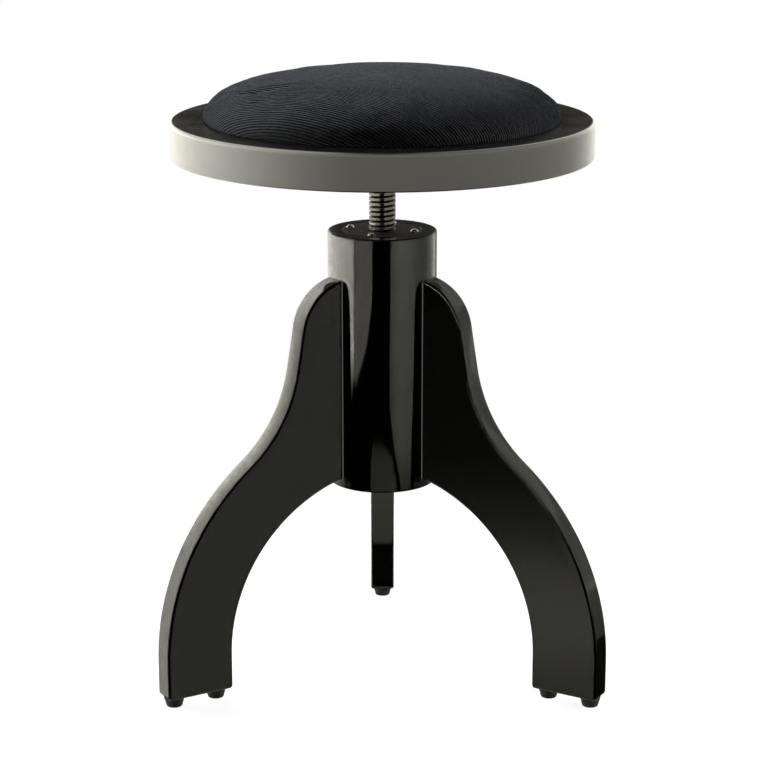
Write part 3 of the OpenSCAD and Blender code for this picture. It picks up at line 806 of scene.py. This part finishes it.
def screwRingTree():
    tree, given, result = newTree("screwsOnCircle", "GeometryNodeTree", {
        "Count": 4, "Circle Diameter": 0.058, "Height": 0.396, "First Turn": 0.0, "Head Down": False,
        "Shank Diameter": 0.0038, "Shank Length": 0.02, "Seed": 1, "Head": "Object", "Material": "Material"},
        {"Geometry": "Geometry"})
    circle = put(tree, "GeometryNodeMeshCircle", {"Vertices": given["Count"],
            "Radius": over(given["Circle Diameter"], 2.0)})
    placed = put(tree, "GeometryNodeTransform", {
        "Geometry": circle.outputs[0], "Translation": vector(0.0, 0.0, given["Height"]),
        "Rotation": vector(0.0, 0.0, given["First Turn"])})
    head = put(tree, "GeometryNodeObjectInfo", {"Object": given["Head"], "As Instance": False})
    shank = put(tree, "GeometryNodeMeshCylinder", {
        "Vertices": 24, "Radius": over(given["Shank Diameter"], 2.0), "Depth": given["Shank Length"]})
    hung = put(tree, "GeometryNodeTransform", {
        "Geometry": shank.outputs["Mesh"], "Translation": vector(0.0, 0.0, times(given["Shank Length"], -0.5))})
    whole = put(tree, "GeometryNodeJoinGeometry")
    for part in (head.outputs["Geometry"], hung.outputs[0]):
        tree.links.new(part, whole.inputs[0])
    return finishCopies(placed.outputs[0], whole.outputs[0], given["Seed"], times(given["Head Down"], pi),
            given, result)


screwRings = [
    ("plateScrews", "base", "nut_flange_screws",
     {"Circle Diameter": 58 * mm, "Height": 396 * mm, "First Turn": radians(72), "Head Down": False,
      "Shank Length": 25 * mm, "Seed": 3}),
    ("discScrews", "seat", "seat_flange_screws",
     {"Circle Diameter": 92 * mm, "Height": 457 * mm, "First Turn": radians(45), "Head Down": True,
      "Shank Length": 19 * mm, "Seed": 5}),
    ("padScrews", "seat", "pad_screws",
     {"Circle Diameter": 200 * mm, "Height": 461 * mm, "First Turn": 0.0, "Head Down": True,
      "Shank Length": 29 * mm, "Seed": 8}),
]


def makeScrews():
    head, tree, made = screwHeadMaster(), screwRingTree(), []
    for name, body, node, values in screwRings:
        ring = linkMesh(name, [(0, 0, 0)], [])
        runTree(ring, tree, {**values, "Head": head, "Material": nickel})
        made.append(fitPiece(ring, body, nickel, "nickel", node))
    bpy.data.objects.remove(head)
    return made


nutPlate = makeNutPlate()
spindle = makeSpindle()
seatDisc = makeSeatDisc()
weldBead = makeWeld()
screws = makeScrews()
print("nut plate, spindle, disc, weld and screws made")


# Seat board

boardShape = {
    "radius": 180.0, "low": 461.0, "top": 492.0, "topRound": 3.0, "lowRound": 1.6,
    "recessRadius": 150.8, "recessFloor": 484.0,
}


def makeSeatBoard():
    s = boardShape
    return turnPiece("seatBoardTurned", [
        (0, s["low"], 0), (s["radius"], s["low"], s["lowRound"]), (s["radius"], s["top"], s["topRound"]),
        (s["recessRadius"], s["top"], 0.8), (s["recessRadius"], s["recessFloor"], 0), (0, s["recessFloor"], 0)],
        "seat", satinLacquer, "black_lacquer", "seat_board", steps=256, closed=False, cornerSteps=8)


seatBoard = makeSeatBoard()
print("seat board made")


# Cushion

cushionShape = {
    "radius": 151.4, "widest": 494.5, "crown": 38.1, "sidePower": 2.68, "crownPower": 2.02,
    "tuck": 1.8, "swell": 2.5, "low": 484.2,
    "ribTurn": 33.0,            # degrees that the ribs lean from the stool's width
    "ribHeight": 0.62, "ribShares": (0.0, 0.14, 0.36, 0.64, 0.86), "columns": 96,
    "voxel": 5.0, "frames": 20, "slack": 2.2, "mostMove": 3.0,
    "rayDepth": 14.0,           # how far inside the pad the search for its filled surface starts
    "clothFrom": 492.2, "easeFrom": 494.0, "easeHeight": 8.0, "ringWidth": 6.0, "dentShare": 0.6,
    "hem": 0.25, "heldBelow": 503.0, "heldOver": 9.0, "dentedFrom": 500.0, "skinDentShare": 0.8, "waviness": 0.9,
}
clothSettings = {
    "quality": 5, "mass": 0.25, "tension_stiffness": 22, "compression_stiffness": 22, "shear_stiffness": 8,
    "bending_stiffness": 1.5, "use_pressure": True, "uniform_pressure_force": 4.0, "vertex_group_mass": "held",
}
# soft dents as (x, y, long half, short half, turn in degrees, depth), in millimetres
dents = [
    (-88, -52, 19, 5, -8, 2.2), (-104, -50, 9, 4, -20, 1.5), (-30, 40, 60, 26, -12, 0.9),
    (52, 10, 44, 22, 25, 0.8), (-60, -8, 40, 20, 35, 0.7), (10, -58, 52, 16, 4, 0.6),
    (96, -52, 30, 12, -40, 0.6),
]


def cushionProfile():
    # radius, height and outward normal of the pad against the length of cloth from its crown
    s = cushionShape
    a = np.linspace(0, pi / 2, 1200)
    r = s["radius"] * np.sin(a) ** (2 / s["sidePower"])
    z = s["widest"] + s["crown"] * np.cos(a) ** (2 / s["crownPower"])
    b = np.linspace(0, pi / 2, 60)[1:]
    r = np.concatenate([r, s["radius"] - s["tuck"] * (1 - np.cos(b))])
    z = np.concatenate([z, s["widest"] - s["swell"] * np.sin(b)])
    down = np.linspace(z[-1], s["low"], 30)[1:]
    r = np.concatenate([r, np.full(len(down), r[-1])])
    z = np.concatenate([z, down])
    length = np.concatenate([[0], np.cumsum(np.hypot(np.diff(r), np.diff(z)))])
    dr, dz = np.gradient(r, length), np.gradient(z, length)
    size = np.hypot(dr, dz)
    return length, r, z, -dz / size, dr / size


def dentDepth(x, y):
    depth = 0.0
    for cx, cy, longHalf, shortHalf, turn, deep in dents:
        c, s = cos(radians(turn)), sin(radians(turn))
        u, v = (x - cx) * c + (y - cy) * s, (y - cy) * c - (x - cx) * s
        depth += deep * exp(-(u / longHalf) ** 2 - (v / shortHalf) ** 2)
    return depth


def inflatePad(r, z, normalR, normalZ):
    # the pad starts a little small and slack, and cloth pressure fills it
    s = cushionShape
    line = [(0, s["low"])] + [(max(0, r[i] - s["slack"] * normalR[i]), z[i] - s["slack"] * normalZ[i])
            for i in range(len(r) - 1, 0, -28)]
    line.append((0, z[0] - s["slack"]))
    pad = turnShape("padForCloth", line, steps=96, closed=False)
    smooth = pad.modifiers.new("evenSkin", "REMESH")
    smooth.mode, smooth.voxel_size = "VOXEL", s["voxel"] * mm
    bakeModifiers(pad)
    held = pad.vertex_groups.new(name="held")
    for vertex in pad.data.vertices:
        x, y, height = (c / mm for c in vertex.co)
        if height > s["dentedFrom"]:
            wave = s["waviness"] * noiseAt(Vector((x, y, 0)) * 0.02 * 1.7)
            vertex.co.z -= (s["skinDentShare"] * dentDepth(x, y) + wave) * mm
        held.add([vertex.index], min(1.0, max(0.0, (s["heldBelow"] - height) / s["heldOver"])), "REPLACE")
    cloth = pad.modifiers.new("cloth", "CLOTH")
    for key, value in clothSettings.items():
        setattr(cloth.settings, key, value)
    cloth.settings.effector_weights.gravity = 0
    cloth.point_cache.frame_start, cloth.point_cache.frame_end = 1, s["frames"]
    for step in range(1, s["frames"] + 1):
        scene.frame_set(step)
    bakeModifiers(pad)
    scene.frame_set(1)
    surface = BVHTree.FromPolygons([v.co.copy() for v in pad.data.vertices],
            [tuple(p.vertices) for p in pad.data.polygons])
    bpy.data.objects.remove(pad)
    return surface


def ribTree():
    tree, given, result = newTree("corduroyRibs", "GeometryNodeTree", {
        "Geometry": "Geometry", "Rib Pitch": 0.0025, "Rib Height": 0.0005, "Material": "Material"},
        {"Geometry": "Geometry"})
    across = put(tree, "GeometryNodeInputNamedAttribute", {"Name": "acrossRibs"}, data_type="FLOAT").outputs[0]
    crest = minus(0.4, calc("POWER", ribPhase(across, given["Rib Pitch"]), 3.0))
    move = put(tree, "ShaderNodeVectorMath", {0: put(tree, "GeometryNodeInputNormal").outputs[0],
            "Scale": times(crest, given["Rib Height"])}, operation="SCALE")
    raised = put(tree, "GeometryNodeSetPosition", {"Geometry": given["Geometry"], "Offset": move.outputs[0]})
    return finishGeometry(raised.outputs[0], given, result)


def makeCushion():
    s = cushionShape
    length, r, z, normalR, normalZ = cushionProfile()
    whole = length[-1]
    pitch = corduroyLook["pitch"] / mm
    count = ceil(whole / pitch)
    lines = [(k + share) * pitch for k in range(-count, count) for share in s["ribShares"]]
    lines = np.array([w for w in lines if abs(w) < whole - s["hem"]])
    reach = np.sin(np.linspace(-1, 1, s["columns"]) * pi / 2)
    along = np.sqrt(whole ** 2 - lines ** 2)[:, None] * reach[None, :]
    across = np.repeat(lines[:, None], s["columns"], axis=1)
    lean = radians(s["ribTurn"])
    flatX = along * cos(lean) + across * sin(lean)
    flatY = -along * sin(lean) + across * cos(lean)
    cloth = np.minimum(np.hypot(flatX, flatY), whole)
    angle = np.arctan2(flatY, flatX)
    radius, height = np.interp(cloth, length, r), np.interp(cloth, length, z)
    outR, outZ = np.interp(cloth, length, normalR), np.interp(cloth, length, normalZ)
    base = np.stack([radius * np.cos(angle), radius * np.sin(angle), height], axis=-1)
    out = np.stack([outR * np.cos(angle), outR * np.sin(angle), outZ], axis=-1)
    move = np.zeros(cloth.shape)
    surface = inflatePad(r, z, normalR, normalZ)
    for index in np.ndindex(cloth.shape):
        if height[index] < s["clothFrom"]:
            continue
        start = Vector(base[index] - s["rayDepth"] * out[index]) * mm
        hit = surface.ray_cast(start, Vector(out[index]), 0.03)[0]
        if hit is not None:
            move[index] = (hit - start).length / mm - s["rayDepth"]
    # the mean swell at each distance from the crown is taken off, so the side view stays true
    ring = (cloth / s["ringWidth"]).astype(int)
    for k in np.unique(ring):
        move[ring == k] -= np.median(move[ring == k])
    move = np.clip(move, -s["mostMove"], s["mostMove"])
    print("cushion filled, cloth moved up to", round(float(np.abs(move).max()), 2), "mm from its mean")
    ease = np.clip((height - s["easeFrom"]) / s["easeHeight"], 0, 1)
    dent = np.array([[dentDepth(p[0], p[1]) for p in row] for row in base])
    base = base + out * ((move - dent * s["dentShare"]) * ease)[..., None]
    rows, columns = cloth.shape
    points = [tuple(p * mm) for p in base.reshape(-1, 3)]
    faces = stripFaces(rows, columns, closed=False)
    # the hem below the board's surface is closed with one fan
    grid = np.arange(rows * columns).reshape(rows, columns)
    rim = np.concatenate([grid[0], grid[1:, -1], grid[-1, -2::-1], grid[-2:0:-1, 0]]).tolist()
    points.append((0, 0, s["low"] * mm))
    middle = len(points) - 1
    faces += [(rim[i], middle, rim[(i + 1) % len(rim)]) for i in range(len(rim))]
    cushion = linkMesh("corduroyCushion", points, faces)
    ribs = cushion.data.attributes.new("acrossRibs", "FLOAT", "POINT")
    ribs.data.foreach_set("value", np.append(across.reshape(-1) * mm, 0.0).astype(np.float32))
    flat = np.append(np.stack([along, across], axis=-1).reshape(-1, 2) * mm, [[0.0, 0.0]], axis=0)
    corner = np.zeros(len(cushion.data.loops), dtype=np.int32)
    cushion.data.loops.foreach_get("vertex_index", corner)
    clothMap = cushion.data.uv_layers.new(name="clothMap")
    clothMap.data.foreach_set("uv", flat[corner].astype(np.float32).reshape(-1))
    turnOutward(cushion)
    runTree(cushion, ribTree(), {"Rib Pitch": pitch * mm, "Rib Height": s["ribHeight"] * mm, "Material": corduroy})
    fitPiece(cushion, "seat", corduroy, "corduroy", "pad_cover", "pad_foam")
    return cushion


cushion = makeCushion()
print("cushion made,", len(cushion.data.polygons), "faces")


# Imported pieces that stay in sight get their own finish

carriedOver = [
    ("bottom_plug", plugWood), ("dowels_left", beech), ("dowels_right", beech), ("dowels_rear", beech),
    ("glide_nails", zinc), ("stop_washer", zinc), ("stop_bolt", zinc), ("pad_base", plywood),
    ("cover_staples", zinc),
]
for node, material in carriedOver:
    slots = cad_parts[node].data.materials
    slots.clear()
    slots.append(material)


# Floor, studio and camera

studio = {
    "ambient": 0.06,            # world light on rough surfaces, where 1 is white
    "floorRadius": 0.44, "floorHeights": (-0.1, -0.3),
    "floorColour": (0.80, 0.80, 0.79, 1), "floorGlow": 0.88, "floorShade": 0.26,
    "cardTint": (1.0, 0.985, 0.87, 1),
    "centre": (0.0, 0.0, 0.30), "cardDistance": 3.0,
}


def seenRays(tree):
    path = put(tree, "ShaderNodeLightPath").outputs
    return calc("MAXIMUM", path["Is Camera Ray"], path["Is Transmission Ray"]), path["Is Diffuse Ray"]


def makeWorld():
    # white for the camera, dim for light that falls on the object
    world = bpy.data.worlds.new("paleBackdrop")
    scene.world = world
    world.use_nodes = True
    tree = world.node_tree
    tree.nodes.clear()
    seen, bounced = seenRays(tree)
    level = plus(seen, times(bounced, studio["ambient"]))
    sky = put(tree, "ShaderNodeBackground", {"Color": (1, 1, 1, 1), "Strength": level})
    put(tree, "ShaderNodeOutputWorld", {"Surface": sky.outputs[0]})


def makeFloor():
    # pale to the camera and dim as a bounce light; mirror rays pass it and meet the cards instead
    material, tree = newMaterial("paleFloor")
    seen = seenRays(tree)[0]
    albedo = mixColor(seen, studio["floorColour"], (studio["floorShade"],) * 3 + (1,))
    lit = put(tree, "ShaderNodeBsdfDiffuse", {"Color": albedo})
    glow = put(tree, "ShaderNodeEmission", {"Color": (1, 1, 1, 1), "Strength": times(seen, studio["floorGlow"])})
    both = put(tree, "ShaderNodeAddShader", {0: lit.outputs[0], 1: glow.outputs[0]})
    put(tree, "ShaderNodeOutputMaterial", {"Surface": both.outputs[0]})
    radius, (top, low) = studio["floorRadius"] / mm, studio["floorHeights"]
    floor = turnShape("paleFloorDisc", [(0, top), (radius, top), (radius, low), (0, low)], steps=128, closed=False)
    floor.data.materials.append(material)
    floor.visible_glossy = False


# Glowing cards that only mirror rays see, each one for the pieces that it is meant for.
# Azimuth 0 is toward the camera and negative to the left, and all angles are in degrees. A card has
# a name, its pieces, the width of its soft border, its first and last azimuth, rows of (elevation,
# share of the glow) and its glow along the azimuth as (azimuth, level). Where the first and last
# azimuth change with the height, each row has its own between its elevation and its share.
studioCards = [
    ("columnSoftbox", "column", 0.8, None,
     [(-15.8, -66, -61.4, 1), (-15.2, -178, -61.4, 1), (40, -178, -61.4, 1)],
     [(-178, 0.2), (-161, 1.5), (-137, 3.0), (-112, 4.3), (-88, 5.15), (-61, 4.8)]),
    ("columnBounce", "column", 0.5, None,
     [(-15.9, -61.2, -58, 1), (-15.2, -61.2, -50, 1), (-14.3, -61.2, -34.5, 1), (-13.3, -61.2, -27, 1),
      (-12.2, -61.2, -20.5, 1), (10, -61.2, -19.5, 1)],
     [(-61, 1.2), (-20, 1.2)]),
    ("columnWall", "column", 2.5, None,
     [(-21, 44, 150, 0.5), (-19.4, 36, 178, 0.62), (-18.6, 26, 178, 0.66), (-17, 15, 178, 0.72),
      (-15, 14.5, 178, 0.8), (-12, 16, 178, 0.92), (-10, 16.5, 178, 1), (35, 16.5, 178, 1)],
     [(14, 0.85), (24, 1.02), (36, 1.4), (52, 1.26), (64, 1.1), (80, 0.72), (100, 0.54), (120, 0.78), (144, 1.75),
      (152, 0.4), (178, 0.2)]),
    ("columnFloorGlow", "column", 1.2, None,
     [(-24, -28, 42, 1), (-20.4, -26, 34, 1), (-18.9, -24, 24, 1), (-17.8, -18, -8, 1)], [(-28, 0.35), (42, 0.42)]),
    ("columnRearWall", "column", 8.0, (150, 230), [(-30, 0.2), (4, 0.2)], [(150, 1.0), (230, 1.0)]),
    ("columnTopGlow", "column", 3.0, (150, 210), [(7, 1), (24, 1)], [(150, 0.06), (210, 0.05)]),
    ("legLeftWall", "legLeft", 1.2, None,
     [(-33, -178, -76, 0.42), (-26, -178, -76, 0.47), (-21.5, -178, -76, 0.6), (-16.5, -178, -76, 0.68),
      (-11.3, -178, -76, 0.77), (-5.8, -178, -76, 0.86), (5, -178, -76, 1), (15, -178, -76, 1.15),
      (20, -178, -76, 1.2), (26, -178, -74, 1.05), (57, -178, -66, 1)],
     [(-178, 0.95), (-166, 1.35), (-155, 2.1), (-145, 2.7), (-133, 3.4), (-118, 2.6), (-104, 1.7), (-88, 1.6),
      (-76, 1.5)]),
    ("legLeftSky", "legLeft", 1.5, (-179, -66),
     [(56, 0.9), (89, 1)], [(-179, 1.0), (-165, 1.9), (-150, 2.4), (-100, 2.4), (-66, 1.8)]),
    ("legLeftFace", "legLeft", 1.0, (44, 67), [(-33, 1), (-8, 1)], [(44, 0.475), (67, 0.475)]),
    ("legLeftRear", "legLeft", 6.0, (70, 178), [(-30, 1), (60, 1)], [(70, 0.4), (178, 0.3)]),
    ("legRightLow", "legRight", 1.0, (66, 178),
     [(-20, 0.35), (-11, 0.62), (-4, 0.8)], [(66, 0.45), (118, 0.45), (178, 0.3)]),
    ("legRightWall", "legRight", 1.5, (42, 178),
     [(-7, 0.9), (57, 1)],
     [(42, 0.5), (62, 0.5), (74, 0.75), (90, 1.05), (102, 0.9), (114, 0.52), (124, 0.43), (135, 0.32), (150, 0.22),
      (166, 0.15), (172, 0.1), (178, 0.1)]),
    ("legRightHigh", "legRight", 5.0, (84, 165), [(15, 1), (57, 1)], [(84, 0.4), (112, 0.4), (165, 0.2)]),
    ("legRightSky", "legRight", 1.5, (66, 179),
     [(56, 0.9), (89, 1)], [(66, 0.5), (100, 0.65), (150, 0.6), (165, 0.45), (179, 0.12)]),
    ("legFrontGlow", "legRight", 0.8, (-74, -38),
     [(-33, 0.5), (-28.3, 0.66), (-26.3, 1.05), (-25, 1), (-23.5, 0.76), (-22.3, 0.34), (-20.5, 0.14), (-19, 0.06),
      (-12, 0.045)],
     [(-74, 0.77), (-38, 0.77)]),
    ("legFrontLine", "legRight", 2.0, (-56, -24),
     [(-10, 0.9), (0, 1), (6, 0.4), (45, 0.3)], [(-56, 5.0), (-24, 5.0)]),
    ("legRightRear", "legRight", 6.0, (-178, -82), [(-30, 1), (60, 1)], [(-178, 0.3), (-82, 0.6)]),
    ("legFloorGlow", "legs", 4.0, (-179, 180), [(-88, 1), (-36, 1)], [(-179, 0.6), (180, 0.55)]),
    ("legRearWall", "legs", 8.0, (150, 230), [(-30, 0.2), (4, 0.2)], [(150, 0.8), (230, 0.8)]),
    ("jointGlow", "joints", 6.0, (-179, 179),
     [(-60, 1), (88, 1)], [(-179, 2.5), (-90, 6.0), (-50, 4.0), (0, 2.0), (60, 0.9), (179, 0.6)]),
    ("seatWall", "seat", 4.0, None,
     [(-50, -178, 178, 0.8), (-8, -178, 178, 0.95), (0, -175, 175, 1.25), (10, -166, 166, 1.65), (16, -166, 166, 1.6),
      (21, -174, 174, 1.4), (50, -172, 172, 1.15), (80, -170, 170, 0.9)],
     [(-178, 1.0), (-170, 1.35), (-156, 2.05), (-142, 3.2), (-128, 4.5), (-114, 5.4), (-97, 6.2), (-85, 6.1),
      (-71, 5.3), (-43, 3.1), (-20, 1.95), (28, 1.85), (57, 2.05), (85, 1.95), (114, 1.5), (128, 1.6), (142, 1.75),
      (156, 1.75), (170, 1.0), (178, 0.8)]),
    ("spindleLeft", "spindle", 3.0, (-175, -20),
     [(-60, 1), (50, 1)], [(-175, 0.7), (-150, 0.9), (-118, 1.05), (-64, 0.72), (-20, 0.5)]),
    ("spindleRight", "spindle", 3.0, (17, 175),
     [(-60, 1), (50, 1)], [(17, 0.42), (60, 0.34), (110, 0.42), (175, 0.4)]),
    ("screwLeft", "screws", 4.0, (-179, -12), [(-60, 1), (28, 1)], [(-179, 1.4), (-90, 3.2), (-12, 2.0)]),
    ("screwFront", "screws", 10.0, (-75, 75), [(-40, 1), (85, 1)], [(-75, 1.6), (75, 1.3)]),
    ("screwRight", "screws", 4.0, (14, 179), [(-60, 1), (28, 1)], [(14, 2.0), (90, 2.2), (179, 1.4)]),
    ("restLeft", "rest", 4.0, (-150, -22), [(-50, 1), (40, 1)], [(-150, 0.6), (-64, 1.2), (-22, 0.7)]),
    ("restRight", "rest", 4.0, (17, 150), [(-50, 1), (40, 1)], [(17, 0.6), (60, 0.8), (150, 0.6)]),
]


def cardMaterial():
    # the card adds its glow and hides nothing behind it
    material, tree = newMaterial("cardGlow")
    level = put(tree, "ShaderNodeAttribute", attribute_name="glow").outputs["Fac"]
    glow = put(tree, "ShaderNodeEmission", {"Color": studio["cardTint"], "Strength": level})
    clear = put(tree, "ShaderNodeBsdfTransparent")
    both = put(tree, "ShaderNodeAddShader", {0: clear.outputs[0], 1: glow.outputs[0]})
    put(tree, "ShaderNodeOutputMaterial", {"Surface": both.outputs[0]})
    return material


def makeCard(material, receivers, name, pieces, edge, span, rows, levels):
    columns, layers = 90, 40
    if span:
        rows = [(height, *span, share) for height, share in rows]
    elevations = np.linspace(rows[0][0], rows[-1][0], layers)
    heights, *others = zip(*rows)
    lefts, rights, shares = (np.interp(elevations, heights, values) for values in others)
    points, glows = [], []
    for elevation, left, right, share in zip(elevations, lefts, rights, shares):
        for k in range(columns):
            azimuth = left + (right - left) * k / (columns - 1)
            a, e = radians(azimuth), radians(elevation)
            way = Vector((sin(a) * cos(e), -cos(a) * cos(e), sin(e)))
            points.append(Vector(studio["centre"]) + way * studio["cardDistance"])
            inside = min(azimuth - left, right - azimuth, elevation - heights[0], heights[-1] - elevation)
            border = min(1.0, max(0.0, inside / edge))
            level = np.interp(azimuth, *zip(*levels))
            glows.append(float(level) * share * border * border * (3 - 2 * border))
    card = linkMesh(name, points, stripFaces(layers, columns, closed=False))
    card.data.attributes.new("glow", "FLOAT", "POINT").data.foreach_set("value", glows)
    card.data.materials.append(material)
    card.visible_camera = card.visible_diffuse = card.visible_shadow = False
    card.visible_transmission = card.visible_volume_scatter = False
    card.light_linking.receiver_collection = receivers[pieces]


def makeReceivers():
    chosen = {"column": [column, nutPlate], "legs": legs,
              "legLeft": [legs[0], legs[2]], "legRight": legs[1:], "joints": beads,
              "seat": [seatBoard], "spindle": [spindle], "screws": screws,
              "rest": [glides, seatDisc, weldBead]
              + [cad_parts[node] for node, material in carriedOver]}
    receivers = {}
    for name, pieces in chosen.items():
        receivers[name] = bpy.data.collections.new(name + "Receivers")
        for piece in pieces:
            receivers[name].objects.link(piece)
    return receivers


lamps = [
    # name, power in watts, size in metres, place, aim
    ("keyLamp", 132.0, 1.9, (-2.1, 0.9, 0.95), (0, 0, 0.45)),
    ("topLamp", 26.0, 1.6, (-0.4, 2.0, 1.7), (0, 0, 0.45)),
    ("edgeLamp", 66.0, 1.0, (2.1, 0.5, 0.95), (0, 0, 0.45)),
    ("fillLamp", 1.2, 1.2, (1.8, -1.0, 1.4), (0, 0, 0.3)),
]


def makeLamp(name, power, size, place, aim):
    light = bpy.data.lights.new(name, "AREA")
    light.energy, light.size, light.shape = power, size, "SQUARE"
    lamp = linkObject(name, light)
    lamp.location = place
    lamp.rotation_euler = (Vector(aim) - Vector(place)).to_track_quat("-Z", "Y").to_euler()
    lamp.visible_glossy = lamp.visible_camera = False


cameraPlace = {"across": 0.0015, "back": -1.9063, "height": 0.7829, "lookDown": 15.39, "lens": 105.9}


def makeCamera():
    c = cameraPlace
    data = bpy.data.cameras.new("camera")
    data.lens, data.sensor_width, data.sensor_fit = c["lens"], 36.0, "HORIZONTAL"
    data.clip_start, data.clip_end = 0.05, 50
    camera = linkObject("camera", data)
    camera.location = (c["across"], c["back"], c["height"])
    camera.rotation_euler = (radians(90 - c["lookDown"]), 0, 0)
    bpy.context.scene.camera = camera


makeWorld()
makeFloor()
cardGlow, receivers = cardMaterial(), makeReceivers()
for card in studioCards:
    makeCard(cardGlow, receivers, *card)
for lamp in lamps:
    makeLamp(*lamp)
makeCamera()
scene.view_settings.view_transform = "Standard"
print("floor, studio and camera placed")
